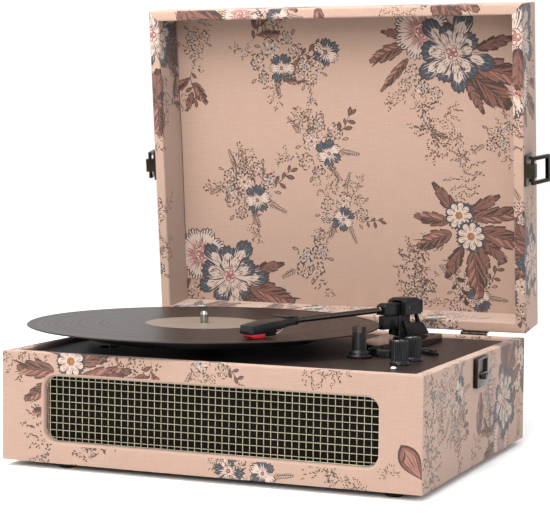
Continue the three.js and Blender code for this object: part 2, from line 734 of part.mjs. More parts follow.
buildBaseBox(root);
buildFeet(root);
buildSocketPlate(root);
buildLidBox(lid);
buildHinge(root, lid, 'left', -hingeX);
buildHinge(root, lid, 'right', hingeX);
buildLatch(root, lid, 'left', -1);
buildLatch(root, lid, 'right', 1);
buildGrille(root);
buildSpeakers(root);
buildElectronics(root);
buildDeck(root);
buildPlatter(root);
buildBearing(root);
buildDrive(root);
buildArmPlinth(root);
buildRestPost(root);
buildArmBase(arm);
buildArmCarriage(arm);
buildArmWand(arm);
buildHeadshell(arm);
buildCueing(arm);
for (const [name, place] of Object.entries(knobs)) {
  buildKnob(root, name, place);
}
buildIndicator(root);
buildSelector(root);

// The open lid's top board reaches furthest back, so the middle of the depth follows from it.
const lidReach = lidHeight * Math.sin(lidOpenAngle);
const rearmost = hingeY + lidReach + (caseDepth - hingeY) * Math.cos(lidOpenAngle);
root.position.set(0, -rearmost / 2, footHeight);

export default root;
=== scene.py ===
"""Looks for the suitcase record player, in metres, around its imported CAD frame.

Sizes are written in millimetres in the case's own frame: X to the right, Y back from the front face,
Z up from the underside of the base box. The lid has the same frame, shut, and is then swung open.
"""
import json
import math
import random

import bmesh
import bpy
from mathutils import Matrix, Vector
from mathutils.geometry import delaunay_2d_cdt


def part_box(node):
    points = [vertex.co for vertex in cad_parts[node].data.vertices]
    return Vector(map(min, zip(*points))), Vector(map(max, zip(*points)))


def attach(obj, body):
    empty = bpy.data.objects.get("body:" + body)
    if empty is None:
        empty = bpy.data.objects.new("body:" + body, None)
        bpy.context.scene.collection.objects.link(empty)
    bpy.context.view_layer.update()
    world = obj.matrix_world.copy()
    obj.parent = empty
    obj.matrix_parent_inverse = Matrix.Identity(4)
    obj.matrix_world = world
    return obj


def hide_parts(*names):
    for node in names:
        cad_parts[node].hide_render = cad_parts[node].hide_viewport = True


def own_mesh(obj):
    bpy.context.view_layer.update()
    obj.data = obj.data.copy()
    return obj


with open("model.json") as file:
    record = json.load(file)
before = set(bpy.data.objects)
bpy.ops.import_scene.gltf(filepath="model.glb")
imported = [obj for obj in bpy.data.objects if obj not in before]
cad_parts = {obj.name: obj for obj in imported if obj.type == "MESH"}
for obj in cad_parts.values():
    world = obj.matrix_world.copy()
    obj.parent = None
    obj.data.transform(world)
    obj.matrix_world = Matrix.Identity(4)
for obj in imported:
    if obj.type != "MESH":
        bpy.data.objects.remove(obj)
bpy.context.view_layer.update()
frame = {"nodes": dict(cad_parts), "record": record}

# ------------------------------------------------------------------ sizes, in millimetres

MM = 0.001
CASE_W = 355.3
CASE_D = 287.7
BASE_H = 88.8
BOARD = 9.3
LID_H = 44.5
LID_TOP = 5.5
RIM_LOW = 0.5
OPEN_ANGLE = math.radians(83.68)
HINGE = (CASE_D + 2.3, BASE_H + 0.5)
CLEAR = 0.3
SPINDLE = (-64.5, 142.0)
ARM_PIVOT = (86.2, 217.3)
ARM_ANGLE = math.radians(-21.2)
GRILLE = {"left": -139.8, "right": 143, "bottom": 17.3, "top": 70.8, "radius": 10}
GRILLE_FRONT = 4
KNOBS = {"volume": (133.2, 77.0), "pitch": (134.4, 106.0)}
LAMP = (137.7, 49.1)
RECORD_RADIUS = 150.5
LABEL_RADIUS = 50.0
WRAP_STEPS = 3
SHARP = 35

base_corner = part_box("base_front_board")[0]
CASE = Matrix.Translation((0, base_corner.y, base_corner.z)) @ Matrix.Diagonal((MM, MM, MM, 1))
LID = (
    CASE
    @ Matrix.Translation((0, *HINGE))
    @ Matrix.Rotation(-OPEN_ANGLE, 4, "X")
    @ Matrix.Translation((0, -HINGE[0], 0))
)
ARM = CASE @ Matrix.Translation((*ARM_PIVOT, BASE_H)) @ Matrix.Rotation(ARM_ANGLE, 4, "Z")

# ------------------------------------------------------------------ materials

GROUND = (0.276, 0.182, 0.139)
INKS = {
    "ground": GROUND,
    "cream": (0.352, 0.266, 0.221),
    "slate": (0.030, 0.034, 0.043),
    "mist": (0.085, 0.089, 0.100),
    "rose": (0.235, 0.090, 0.083),
    "rust": (0.120, 0.052, 0.039),
    "salmon": (0.205, 0.095, 0.073),
    "umber": (0.034, 0.0185, 0.013),
    "line": (0.034, 0.021, 0.015),
    "ochre": (0.225, 0.100, 0.036),
}


class Nodes:
    """Short calls for making a material's nodes."""

    def __init__(self, name, color=(0.8, 0.8, 0.8), roughness=0.5, metallic=0.0):
        self.material = bpy.data.materials.new(name)
        self.material.use_nodes = True
        self.tree = self.material.node_tree
        self.shader = self.tree.nodes["Principled BSDF"]
        self.set(self.shader, "Base Color", (*color, 1))
        self.set(self.shader, "Roughness", roughness)
        self.set(self.shader, "Metallic", metallic)

    def set(self, node, name, value):
        node.inputs[name].default_value = value

    def add(self, kind, **inputs):
        node = self.tree.nodes.new(kind)
        for name, value in inputs.items():
            node.inputs[name.replace("_", " ")].default_value = value
        return node

    def link(self, a, b):
        self.tree.links.new(a, b)

    def noise(self, vector, scale, detail=3.0):
        node = self.add("ShaderNodeTexNoise", Scale=scale, Detail=detail)
        self.link(vector, node.inputs["Vector"])
        return node.outputs["Fac"]

    def math(self, operation, a, b):
        node = self.tree.nodes.new("ShaderNodeMath")
        node.operation = operation
        for socket, value in zip(node.inputs, (a, b)):
            if isinstance(value, (int, float)):
                socket.default_value = value
            else:
                self.link(value, socket)
        return node.outputs[0]

    def spread(self, value, low, high):
        """Maps a 0 to 1 value onto low to high."""
        node = self.add("ShaderNodeMapRange")
        self.set(node, "To Min", low)
        self.set(node, "To Max", high)
        self.link(value, node.inputs["Value"])
        return node.outputs["Result"]

    def scaled(self, vector, factors):
        node = self.tree.nodes.new("ShaderNodeMapping")
        self.set(node, "Scale", factors)
        self.link(vector, node.inputs["Vector"])
        return node.outputs["Vector"]

    def tint(self, color, factor):
        """The colour times a grey factor."""
        node = self.tree.nodes.new("ShaderNodeVectorMath")
        node.operation = "SCALE"
        if isinstance(color, tuple):
            node.inputs[0].default_value = color
        else:
            self.link(color, node.inputs[0])
        self.link(factor, node.inputs["Scale"])
        return node.outputs["Vector"]

    def position(self):
        return self.tree.nodes.new("ShaderNodeTexCoord").outputs["Object"]

    def uv(self):
        return self.tree.nodes.new("ShaderNodeTexCoord").outputs["UV"]

    def bump(self, height, distance, strength=1.0):
        node = self.add("ShaderNodeBump", Strength=strength, Distance=distance)
        self.link(height, node.inputs["Height"])
        self.link(node.outputs["Normal"], self.shader.inputs["Normal"])

    def color(self, socket):
        self.link(socket, self.shader.inputs["Base Color"])

    def roughness(self, socket):
        self.link(socket, self.shader.inputs["Roughness"])


def weave_height(nodes, uv, pitch):
    """Threads that pass over and under each other, from a UV in metres."""
    split = nodes.tree.nodes.new("ShaderNodeSeparateXYZ")
    nodes.link(uv, split.inputs[0])
    turns = 2 * math.pi / pitch
    waves = [
        nodes.math("SINE", nodes.math("MULTIPLY", split.outputs[axis], turns), 0)
        for axis in ("X", "Y")
    ]
    return nodes.math("MULTIPLY", waves[0], waves[1])


def printed_cloth():
    nodes = Nodes("printed_cloth", roughness=0.88)
    uv = nodes.uv()
    ink = nodes.tree.nodes.new("ShaderNodeVertexColor")
    ink.layer_name = "ink"
    weave = weave_height(nodes, uv, 0.0009)
    warp = nodes.noise(nodes.scaled(uv, (1600, 60, 1)), 1)
    weft = nodes.noise(nodes.scaled(uv, (60, 1600, 1)), 1)
    slubs = nodes.math("ADD", nodes.spread(warp, -0.10, 0.10), nodes.spread(weft, -0.14, 0.14))
    blotch = nodes.spread(nodes.noise(uv, 900, 2), -0.07, 0.07)
    shade = nodes.math("ADD", nodes.math("ADD", slubs, blotch), 1.0)
    fine = nodes.math("MULTIPLY", weave, 0.035)
    faded = nodes.tree.nodes.new("ShaderNodeMix")
    faded.data_type = "RGBA"
    faded.inputs["B"].default_value = (*GROUND, 1)
    thin = nodes.spread(nodes.noise(uv, 1000, 4), -1.0, 0.85)
    nodes.link(nodes.math("MULTIPLY", thin, ink.outputs["Alpha"]), faded.inputs["Factor"])
    nodes.link(ink.outputs["Color"], faded.inputs["A"])
    nodes.color(nodes.tint(faded.outputs["Result"], nodes.math("ADD", shade, fine)))
    nodes.bump(nodes.math("ADD", weave, slubs), 0.00007)
    nodes.set(nodes.shader, "Sheen Weight", 0.15)
    nodes.set(nodes.shader, "Specular IOR Level", 0.25)
    return nodes.material


def dark_cloth():
    nodes = Nodes("lining", roughness=0.95)
    grain = nodes.noise(nodes.position(), 1800)
    nodes.color(nodes.tint((0.0055, 0.0045, 0.0035), nodes.spread(grain, 0.5, 1.6)))
    nodes.bump(grain, 0.0002)
    nodes.set(nodes.shader, "Specular IOR Level", 0.05)
    return nodes.material


def felt():
    nodes = Nodes("felt", roughness=1.0)
    fuzz = nodes.noise(nodes.position(), 2600, 5)
    nodes.color(nodes.tint((0.012, 0.012, 0.013), nodes.spread(fuzz, 0.4, 1.8)))
    nodes.bump(fuzz, 0.0002)
    nodes.set(nodes.shader, "Sheen Weight", 0.3)
    return nodes.material


def moulded(name, color, roughness, grain_scale=1400, depth=0.00003, coat=0.0, shine=0.5):
    """Moulded plastic or rubber: a fine grain, and patches that are a little worn."""
    nodes = Nodes(name, roughness=roughness)
    place = nodes.position()
    grain = nodes.noise(place, grain_scale, 2)
    wear = nodes.noise(place, 60, 4)
    nodes.color(nodes.tint(color, nodes.spread(wear, 0.8, 1.25)))
    nodes.roughness(nodes.spread(wear, roughness - 0.05, roughness + 0.07))
    nodes.bump(grain, depth)
    nodes.set(nodes.shader, "Coat Weight", coat)
    nodes.set(nodes.shader, "Specular IOR Level", shine)
    return nodes.material


def deck_vinyl():
    """Leathercloth: pebbled cells with creases between."""
    nodes = Nodes("deck_vinyl", roughness=0.42)
    place = nodes.position()
    cells = nodes.add("ShaderNodeTexVoronoi", Scale=900.0)
    nodes.link(place, cells.inputs["Vector"])
    cell = cells.outputs["Distance"]
    patches = nodes.noise(place, 35, 4)
    nodes.color(nodes.tint((0.013, 0.008, 0.007), nodes.spread(patches, 0.8, 1.2)))
    nodes.roughness(nodes.spread(cell, 0.50, 0.32))
    nodes.bump(cell, 0.00010)
    nodes.set(nodes.shader, "Specular IOR Level", 0.18)
    return nodes.material


def worn_metal(name, color, roughness, patina=(0.0, 0.0, 0.0), scratch=0.08):
    """Metal with fine brushing, and a patina that gathers in patches."""
    nodes = Nodes(name, roughness=roughness, metallic=1.0)
    place = nodes.position()
    brushing = nodes.noise(nodes.scaled(place, (300, 300, 4000)), 1)
    patches = nodes.noise(place, 240, 5)
    mix = nodes.tree.nodes.new("ShaderNodeMix")
    mix.data_type = "RGBA"
    mix.inputs["A"].default_value = (*color, 1)
    mix.inputs["B"].default_value = (*patina, 1)
    nodes.link(nodes.spread(patches, -0.35, 0.9), mix.inputs["Factor"])
    nodes.color(mix.outputs["Result"])
    nodes.roughness(nodes.math("ADD", nodes.spread(brushing, -scratch, scratch), roughness))
    nodes.bump(brushing, 0.00001)
    return nodes.material


def record_vinyl():
    """Grooves as fine rings of bump and sheen, with the quiet gaps between tracks; UV Y is the radius."""
    nodes = Nodes("record_vinyl", roughness=0.2)
    split = nodes.tree.nodes.new("ShaderNodeSeparateXYZ")
    nodes.link(nodes.uv(), split.inputs[0])
    radius = split.outputs["Y"]
    ring = nodes.tree.nodes.new("ShaderNodeCombineXYZ")
    nodes.link(radius, ring.inputs["X"])
    fine = nodes.noise(ring.outputs[0], 2600, 1)
    tracks = nodes.noise(ring.outputs[0], 210, 1)
    nodes.color(nodes.tint((0.013, 0.0085, 0.0068), nodes.spread(tracks, 0.5, 1.6)))
    nodes.roughness(nodes.spread(tracks, 0.28, 0.44))
    nodes.bump(fine, 0.000025)
    nodes.set(nodes.shader, "IOR", 1.22)
    return nodes.material


def label_paper():
    nodes = Nodes("label_paper", roughness=0.55)
    grain = nodes.noise(nodes.position(), 700, 4)
    nodes.color(nodes.tint((0.125, 0.095, 0.074), nodes.spread(grain, 0.86, 1.1)))
    nodes.bump(grain, 0.00002)
    nodes.set(nodes.shader, "Specular IOR Level", 0.25)
    return nodes.material


MATERIALS = {
    "printed_cloth": printed_cloth(),
    "lining": dark_cloth(),
    "felt": felt(),
    "deck_vinyl": deck_vinyl(),
    "black_plastic": moulded("black_plastic", (0.0045, 0.0045, 0.005), 0.30, shine=0.2),
    "gloss_plastic": moulded("gloss_plastic", (0.003, 0.003, 0.003), 0.12, depth=0.00001, shine=0.6),
    "rubber": moulded("rubber", (0.007, 0.007, 0.007), 0.78, 900, 0.00006, shine=0.15),
    "red_plastic": moulded("red_plastic", (0.50, 0.010, 0.014), 0.24, coat=0.1),
    "circuit_board": moulded("circuit_board", (0.012, 0.10, 0.035), 0.5),
    "paper_cone": moulded("paper_cone", (0.014, 0.014, 0.014), 0.9, 700, 0.0001),
    "lamp_lens": moulded("lamp_lens", (0.62, 0.63, 0.65), 0.2),
    "grille_metal": worn_metal("grille_metal", (0.36, 0.33, 0.235), 0.34, (0.17, 0.15, 0.105)),
    "antique_bronze": worn_metal("antique_bronze", (0.027, 0.022, 0.015), 0.34, (0.009, 0.007, 0.005)),
    "steel": worn_metal("steel", (0.42, 0.40, 0.37), 0.16, (0.25, 0.24, 0.22), 0.05),
    "gunmetal": worn_metal("gunmetal", (0.085, 0.080, 0.066), 0.25, (0.035, 0.032, 0.027), 0.05),
    "record_vinyl": record_vinyl(),
    "label_paper": label_paper(),
    "white_lead": moulded("white_lead", (0.62, 0.58, 0.55), 0.5),
}

# ------------------------------------------------------------------ mesh helpers


def finish_piece(name, bm, place, body, slot, material=None, replaces=(), sharp=SHARP):
    """Makes an object of a mesh drawn in millimetres, and hangs it on its body."""
    mesh = bpy.data.meshes.new(name)
    bmesh.ops.recalc_face_normals(bm, faces=bm.faces)
    bm.to_mesh(mesh)
    bm.free()
    mesh.transform(place)
    mesh.shade_smooth()
    mesh.set_sharp_from_angle(angle=math.radians(sharp))
    mesh.materials.append(MATERIALS[material or slot])
    piece = bpy.data.objects.new(name, mesh)
    bpy.context.scene.collection.objects.link(piece)
    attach(piece, body)
    if replaces:
        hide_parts(*replaces)
    return piece


def refine(node, body, slot, bevel=0.35, segments=2, corner=28):
    """A copy of a CAD node with its flat faces merged and its edges rounded off."""
    bm = bmesh.new()
    bm.from_mesh(frame["nodes"][node].data)
    bmesh.ops.remove_doubles(bm, verts=bm.verts, dist=1e-6)
    flat = math.radians(0.8)
    bmesh.ops.dissolve_limit(bm, angle_limit=flat, verts=bm.verts, edges=bm.edges)
    edges = [e for e in bm.edges if e.is_manifold and e.calc_face_angle(0) > math.radians(corner)]
    bmesh.ops.bevel(
        bm, geom=edges, offset=bevel * MM, segments=segments, profile=0.6,
        affect="EDGES", clamp_overlap=True,
    )
    return finish_piece(node + "_fine", bm, Matrix(), body, slot, replaces=[node])


def lathe(bm, profile, steps, uv=False):
    """Turns [radius, height] pairs about Z. Pairs on the axis make one vertex."""
    rings = []
    for radius, height in profile:
        if radius < 1e-6:
            rings.append([bm.verts.new((0, 0, height))])
            continue
        turns = [2 * math.pi * i / steps for i in range(steps)]
        rings.append([bm.verts.new((radius * math.cos(a), radius * math.sin(a), height)) for a in turns])
    for low, high in zip(rings, rings[1:]):
        for i in range(steps):
            j = (i + 1) % steps
            corners = [low[i % len(low)], low[j % len(low)], high[j % len(high)], high[i % len(high)]]
            bm.faces.new(list(dict.fromkeys(corners)))
    if uv:
        layer = bm.loops.layers.uv.new("ring")
        for face in bm.faces:
            for loop in face.loops:
                point = loop.vert.co
                turn = math.atan2(point.y, point.x)
                loop[layer].uv = (turn, math.hypot(point.x, point.y) * MM)


def rounded_profile(points, radius, steps=4):
    """Rounds the inner corners of an open [radius, height] profile."""
    rounded = [points[0]]
    for before, corner, after in zip(points, points[1:], points[2:]):
        a, c, b = Vector(before), Vector(corner), Vector(after)
        reach = min(radius, (a - c).length / 2.1, (b - c).length / 2.1)
        start = c + (a - c).normalized() * reach
        end = c + (b - c).normalized() * reach
        for i in range(steps + 1):
            t = i / steps
            rounded.append(tuple(start * (1 - t) ** 2 + c * 2 * t * (1 - t) + end * t * t))
    rounded.append(points[-1])
    return rounded


def turned_piece(name, profile, centre, body, slot, radius=0.4, steps=96, uv=False, **options):
    """A turned piece that stands on the case at (x, y), with its profile's corners rounded."""
    bm = bmesh.new()
    lathe(bm, rounded_profile(profile, radius), steps, uv)
    return finish_piece(name, bm, CASE @ Matrix.Translation((*centre, 0)), body, slot, **options)


def skin(bm, rings):
    """Joins rings of vertices, one after another, and closes both ends."""
    count = len(rings[0])
    for low, high in zip(rings, rings[1:]):
        for k in range(count):
            j = (k + 1) % count
            bm.faces.new([low[k], low[j], high[j], high[k]])
    bm.faces.new(rings[0])
    bm.faces.new(rings[-1])


def block(place, size):
    """A box of the given size about its place."""
    bm = bmesh.new()
    bmesh.ops.create_cube(bm, size=1)
    bmesh.ops.transform(bm, verts=bm.verts, matrix=place @ Matrix.Diagonal((*size, 1)))
    return bm


def tube(bm, points, radius, sides=8):
    """A closed round tube along a line of points."""
    rings = []
    for i, point in enumerate(points):
        ahead = Vector(points[min(i + 1, len(points) - 1)]) - Vector(points[max(i - 1, 0)])
        turn = ahead.to_track_quat("Z", "Y").to_matrix()
        ring = []
        for k in range(sides):
            angle = 2 * math.pi * k / sides
            offset = turn @ Vector((radius * math.cos(angle), radius * math.sin(angle), 0))
            ring.append(bm.verts.new(Vector(point) + offset))
        rings.append(ring)
    skin(bm, rings)


# ------------------------------------------------------------------ the floral print
# A motif is a list of (ink, outline) pairs in millimetres, painted in order, about its own centre.


def moved(motif, x, y, turn=0, size=1.0):
    c, s = math.cos(math.radians(turn)) * size, math.sin(math.radians(turn)) * size
    return [(ink, [(x + c * u - s * v, y + s * u + c * v) for u, v in shape]) for ink, shape in motif]


def arranged(*placed):
    """Joins motifs that are each given with a place and, if need be, a turn and a size."""
    return [shape for motif, *place in placed for shape in moved(motif, *place)]


def turned(motif, turn, size=1.0):
    return moved(motif, 0, 0, turn, size)


def ring_of(count, maker):
    """Repeats maker(i) about the centre."""
    return [shape for i in range(count) for shape in turned(maker(i), 360 * i / count)]


def petal_shape(start, length, width, tip=0.0, steps=9):
    """A petal along +U from start, widest past its middle. A larger tip is blunter."""
    upper = []
    for i in range(1, steps):
        t = i / steps
        swell = math.sin(math.pi * t ** (1.25 + tip)) ** (0.8 - 0.4 * tip)
        upper.append((start + length * t, width / 2 * swell))
    lower = [(u, -v) for u, v in upper]
    return [(start, 0), *lower, (start + length, 0), *upper[::-1]]


def torn_petal(start, length, width, draw, lobes=3):
    """A petal whose outer edge is cut into ragged points."""
    edge = []
    for i in range(lobes * 2 + 1):
        t = i / (lobes * 2)
        notch = 2.6 * draw.uniform(0.6, 1.2) if i % 2 == 0 else 0
        reach = start + length * (1 - 0.20 * (2 * t - 1) ** 2) - notch
        edge.append((reach, width / 2 * (2 * t - 1)))
    neck = start + length * 0.45
    return [(start, -0.8), (neck, -width * 0.40), *edge, (neck, width * 0.40), (start, 0.8)]


def ray(near, far, width=0.7):
    """A thin spindle along +U between two distances."""
    middle = near + (far - near) * 0.45
    return [(near, 0), (middle, -width / 2), (far, 0), (middle, width / 2)]


def dash(x, y, length, turn, width=0.7):
    """A short touch of the brush, fuller on one side."""
    c, s = math.cos(turn), math.sin(turn)
    ends = (-length / 2, 0), (length / 2, 0)
    points = [ends[0], (-length * 0.1, -width * 0.6), ends[1], (length * 0.15, width * 0.4)]
    return [(x + c * u - s * v, y + s * u + c * v) for u, v in points]


def stroke(points, width=0.7):
    """A pen line that swells in the middle."""
    last = len(points) - 1
    left, right = [], []
    for i, (x, y) in enumerate(points):
        (ax, ay), (bx, by) = points[max(i - 1, 0)], points[min(i + 1, last)]
        run = math.hypot(bx - ax, by - ay) or 1
        half = width / 2 * (0.3 + 0.7 * math.sin(math.pi * i / last)) / run
        left.append((x - (by - ay) * half, y + (bx - ax) * half))
        right.append((x + (by - ay) * half, y - (bx - ax) * half))
    return right + left[::-1]


def arc(x, y, radius, start, end, ruffle=0.0, steps=6):
    points = []
    for i in range(steps + 1):
        angle = math.radians(start + (end - start) * i / steps)
        reach = radius * (1 + ruffle * math.sin(9 * angle))
        points.append((x + reach * math.cos(angle), y + reach * math.sin(angle)))
    return points


def scalloped(radius, lobes, depth=0.16, steps=6):
    points = []
    for i in range(lobes * steps):
        angle = 2 * math.pi * i / (lobes * steps)
        r = radius * (1 - depth * (1 - abs(math.sin(lobes * angle / 2))))
        points.append((r * math.cos(angle), r * math.sin(angle)))
    return points


def heart(seed, radius=6.0):
    """The curled middle of a large flower."""
    draw = random.Random(seed)
    shapes = [("cream", scalloped(radius, 7, 0.2))]
    for k in range(4):
        outer = arc(0, 0, radius * 0.42, 0, draw.uniform(150, 240), 0.08)
        inner = arc(0.4, 0, radius * 0.22, 90, draw.uniform(200, 300))
        folds = [("rose", scalloped(radius * 0.44, 5, 0.25)), ("cream", scalloped(radius * 0.2, 4)),
                 ("umber", stroke(outer, 0.75)), ("umber", stroke(inner, 0.5))]
        shapes += moved(folds, radius * 0.45 * math.cos(1.7 * k), radius * 0.45 * math.sin(1.7 * k), 97 * k)
    for start in (10, 130, 250):
        shapes.append(("umber", stroke(arc(0, 0, radius, start, start + 80, 0.06), 0.7)))
    return shapes


def plume(seed, length, width, pale):
    """One petal of the large flower: slate and torn at the tip, with a pale tongue from its base."""
    draw = random.Random(seed)
    shapes = [("umber", torn_petal(3, length - 1.8, width + 1.6, draw, 4))]
    shapes += [("slate", torn_petal(3, length - 3, width, draw, 4))]
    shapes += [("cream", petal_shape(2, length * pale, width * 0.66, 0.3))]
    for k in range(7):
        lean = 0.09 * (k - 3) + draw.uniform(-0.03, 0.03)
        reach = length * draw.uniform(pale, pale + 0.2)
        shapes += turned([("cream", ray(length * 0.2, reach, draw.uniform(1.0, 1.9)))], math.degrees(lean))
    for k in range(6):
        lean = 0.11 * (k - 2.5) + draw.uniform(-0.04, 0.04)
        ink, near = ("slate", 0.42) if k % 2 else ("umber", 0.3)
        fold = ray(length * draw.uniform(near, near + 0.12), length * draw.uniform(0.6, 0.78), 0.75)
        shapes += turned([(ink, fold)], math.degrees(lean))
    tips = [dash(length * 0.84, width * 0.26 * (k - 1), 5, 0.14 * (k - 1), 0.8) for k in range(3)]
    return shapes + [("mist", tip) for tip in tips]


def peony(seed):
    """The big slate flower: two rings of torn petals round a curled heart."""
    draw = random.Random(seed)

    def outer(i):
        petal = plume(seed + i, 38 - 9 * (i % 2) + draw.uniform(-3, 3), draw.uniform(14, 19), 0.70)
        return turned(petal, draw.uniform(-9, 9))

    def inner(i):
        petal = plume(seed + 20 + i, draw.uniform(16, 23), draw.uniform(9, 12), 0.92)
        return turned(petal, draw.uniform(-12, 12))

    return ring_of(10, outer) + moved(ring_of(7, inner), 1, 1, 20) + moved(heart(seed + 40, 7.0), -1, 0)


def rose_flower(seed):
    """The companion flower: cream petals flushed rose from the middle, dark at the tips."""
    draw = random.Random(seed)

    def petal(_):
        tips = [dash(21.5 - abs(k - 2), -4.6 + 2.3 * k, 5.5, 0.12 * (k - 2), 1.5) for k in range(5)]
        return [
            ("umber", torn_petal(5, 20.5, 15.5, draw, 4)), ("cream", torn_petal(5, 19.4, 14, draw, 4)),
            *[("slate", tip) for tip in tips],
            *turned([("umber", ray(9, draw.uniform(15, 19), 0.6))], draw.uniform(-16, 16)),
        ]

    shapes = ring_of(8, petal)
    shapes += ring_of(40, lambda i: [("rose", ray(4, draw.uniform(10, 19), draw.uniform(0.9, 1.7)))])
    shapes += ring_of(24, lambda i: [("umber", ray(draw.uniform(6, 9), draw.uniform(11, 18), 0.5))])
    return shapes + turned(heart(seed + 1, 6.6), 70)


def daisy(seed):
    draw = random.Random(seed)
    shapes = ring_of(9, lambda i: [("slate", torn_petal(4, draw.uniform(8.5, 11), 8.5, draw))])
    shapes += ring_of(9, lambda i: [
        ("umber", petal_shape(2.5, 9.3, 5.8, 0.6)),
        ("cream", petal_shape(2.5, draw.uniform(8, 8.8), 4.8, 0.6)),
        ("mist", dash(8, 1.1, 3.4, 0.1, 0.6)),
        ("umber", dash(6.6, -0.9, 3.8, -0.1, 0.5)),
    ])
    shapes += [("cream", scalloped(4.6, 9)), ("umber", scalloped(3.2, 7)), ("ochre", scalloped(2.7, 7))]
    return shapes + [("umber", stroke(arc(0, 0, 1.5, 20, 300), 0.5))]


def pansy(seed):
    """Ruffled petals, most of them filled dark, round a pale combed throat."""
    draw = random.Random(seed)
    shapes = []
    for i in range(6):
        fill, mark = ("cream", "line") if i % 3 == 2 else ("slate", "mist")
        petal = [("line", torn_petal(1.5, 11.6, 9.6, draw, 3)), (fill, torn_petal(1.5, 10.6, 8.4, draw, 3))]
        petal += [(mark, dash(9.4, -2.2 + 2.2 * k, 3.6, 0.25 * (k - 1), 0.7)) for k in range(3)]
        shapes += turned(petal, 60 * i + draw.uniform(-9, 9), draw.uniform(0.9, 1.08))
    shapes += ring_of(20, lambda i: [("cream", ray(1, draw.uniform(4.5, 9), 1.2))])
    shapes += ring_of(11, lambda i: [("line", ray(2.4, draw.uniform(4, 7), 0.5))])
    return shapes + [("line", scalloped(1.7, 4)), ("rose", scalloped(1.1, 4))]


def pen_flower(seed, petals=6, radius=7.0):
    """A flower in broken pen line: ruffled petal edges, and folds combed out of a tinted throat."""
    draw = random.Random(seed)
    throat = draw.choice(("rose", "ochre", "mist"))
    shapes = [("cream", scalloped(radius * 0.7, petals, 0.35))]
    for i in range(petals):
        size = radius * draw.uniform(0.86, 1.1)
        petal = []
        for start in (-125, -42, 48):
            if draw.random() < 0.88:
                edge = arc(size * 0.60, 0, size * 0.42, start, start + draw.uniform(56, 84), 0.10, 5)
                petal.append(("line", stroke(edge, draw.uniform(0.95, 1.5))))
        for k in range(4):
            fold = ray(size * draw.uniform(0.16, 0.36), size * draw.uniform(0.45, 0.84), 0.75)
            petal += turned([("line" if k else throat, fold)], -22 + 15 * k)
        shapes += turned(petal, 360 * i / petals + draw.uniform(-10, 10))
    shapes += ring_of(8, lambda i: [(throat, ray(0.8, radius * draw.uniform(0.25, 0.5), 0.9))])
    return shapes + [("line", scalloped(radius * 0.13, 4))]


def leaf(seed, length=30, width=11, body="rust", vein="umber"):
    """A torn leaf along +U, with blunt teeth that sweep forward, one side lit and one in shade."""
    draw = random.Random(seed)
    teeth = 4
    edges = []
    streaks = []
    lit = "salmon" if body == "rust" else "rust"
    for side in (1, -1):
        edge = []
        for i in range(teeth):
            for part, reach in ((0.1, 0.82), (0.45, 1.0), (0.85, 1.10)):
                t = (i + part) / teeth
                swell = math.sin(math.pi * (0.04 + 0.94 * t) ** 0.85) ** 0.8 * width / 2
                sweep = 0.05 if part > 0.8 else 0
                edge.append((length * (t + sweep), side * swell * reach * draw.uniform(0.94, 1.06)))
        for k in range(9):
            t = 0.06 + 0.09 * k
            reach = math.sin(math.pi * min(t + 0.1, 1) ** 0.85) * width * draw.uniform(0.42, 0.62)
            turn = side * draw.uniform(15, 36)
            ink, thick = vein, 0.9
            if k % 2:
                ink, thick = lit if side > 0 else vein, draw.uniform(1.6, 2.8)
            fold = petal_shape(0, reach / math.sin(math.radians(abs(turn))) * 0.78, thick, 0, 5)
            streaks += moved([(ink, fold)], length * t, 0, turn)
        edges.append(edge)
    outline = [(0, 0), *edges[1], (length, 0), *edges[0][::-1]]
    shapes = [("umber", outline), (body, [(u * 0.95 + length * 0.02, v * 0.84) for u, v in outline])]
    spine = [(0, 0), (length * 0.5, width * 0.04), (length * 0.94, 0)]
    return shapes + streaks + [(vein, stroke(spine, 0.9))]


def smooth_leaf(seed):
    """A broad plain leaf with a shaded edge and a warm middle."""
    draw = random.Random(seed)
    shapes = [("umber", petal_shape(0, 30, 17, 0.1)), ("rust", petal_shape(1, 27, 14, 0.1))]
    shapes += [("salmon", petal_shape(2, 24, 9, 0.1)), ("umber", stroke(arc(27, 9, 9, 190, 260), 1.6))]
    for k in range(5):
        fold = ray(3 + k, draw.uniform(18, 25), 0.9)
        shapes += turned([("rust" if k % 2 else "umber", fold)], -18 + 9 * k)
    return shapes


def small_leaf(body="rust", length=8.5):
    edge, middle = petal_shape(0, length, length * 0.44), petal_shape(0.8, length - 2, length * 0.24)
    return [("umber", edge), (body, middle), ("umber", ray(0, length * 0.8, 0.55))]


def twig(seed, leaves=5, length=26, body="rust"):
    """A bent stem with small leaves in pairs."""
    draw = random.Random(seed)
    shapes = [("line", stroke([(length * t / 6, 2.5 * math.sin(t * 0.8)) for t in range(7)], 0.8))]
    for i in range(leaves):
        t = (i + 1) / (leaves + 0.5)
        turn = (1 if i % 2 else -1) * draw.uniform(30, 60)
        shapes += moved(small_leaf(body), length * t, 2.5 * math.sin(t * 4.8), turn, draw.uniform(0.8, 1.15))
    return shapes + moved(small_leaf(body), length, 2.5 * math.sin(4.8))


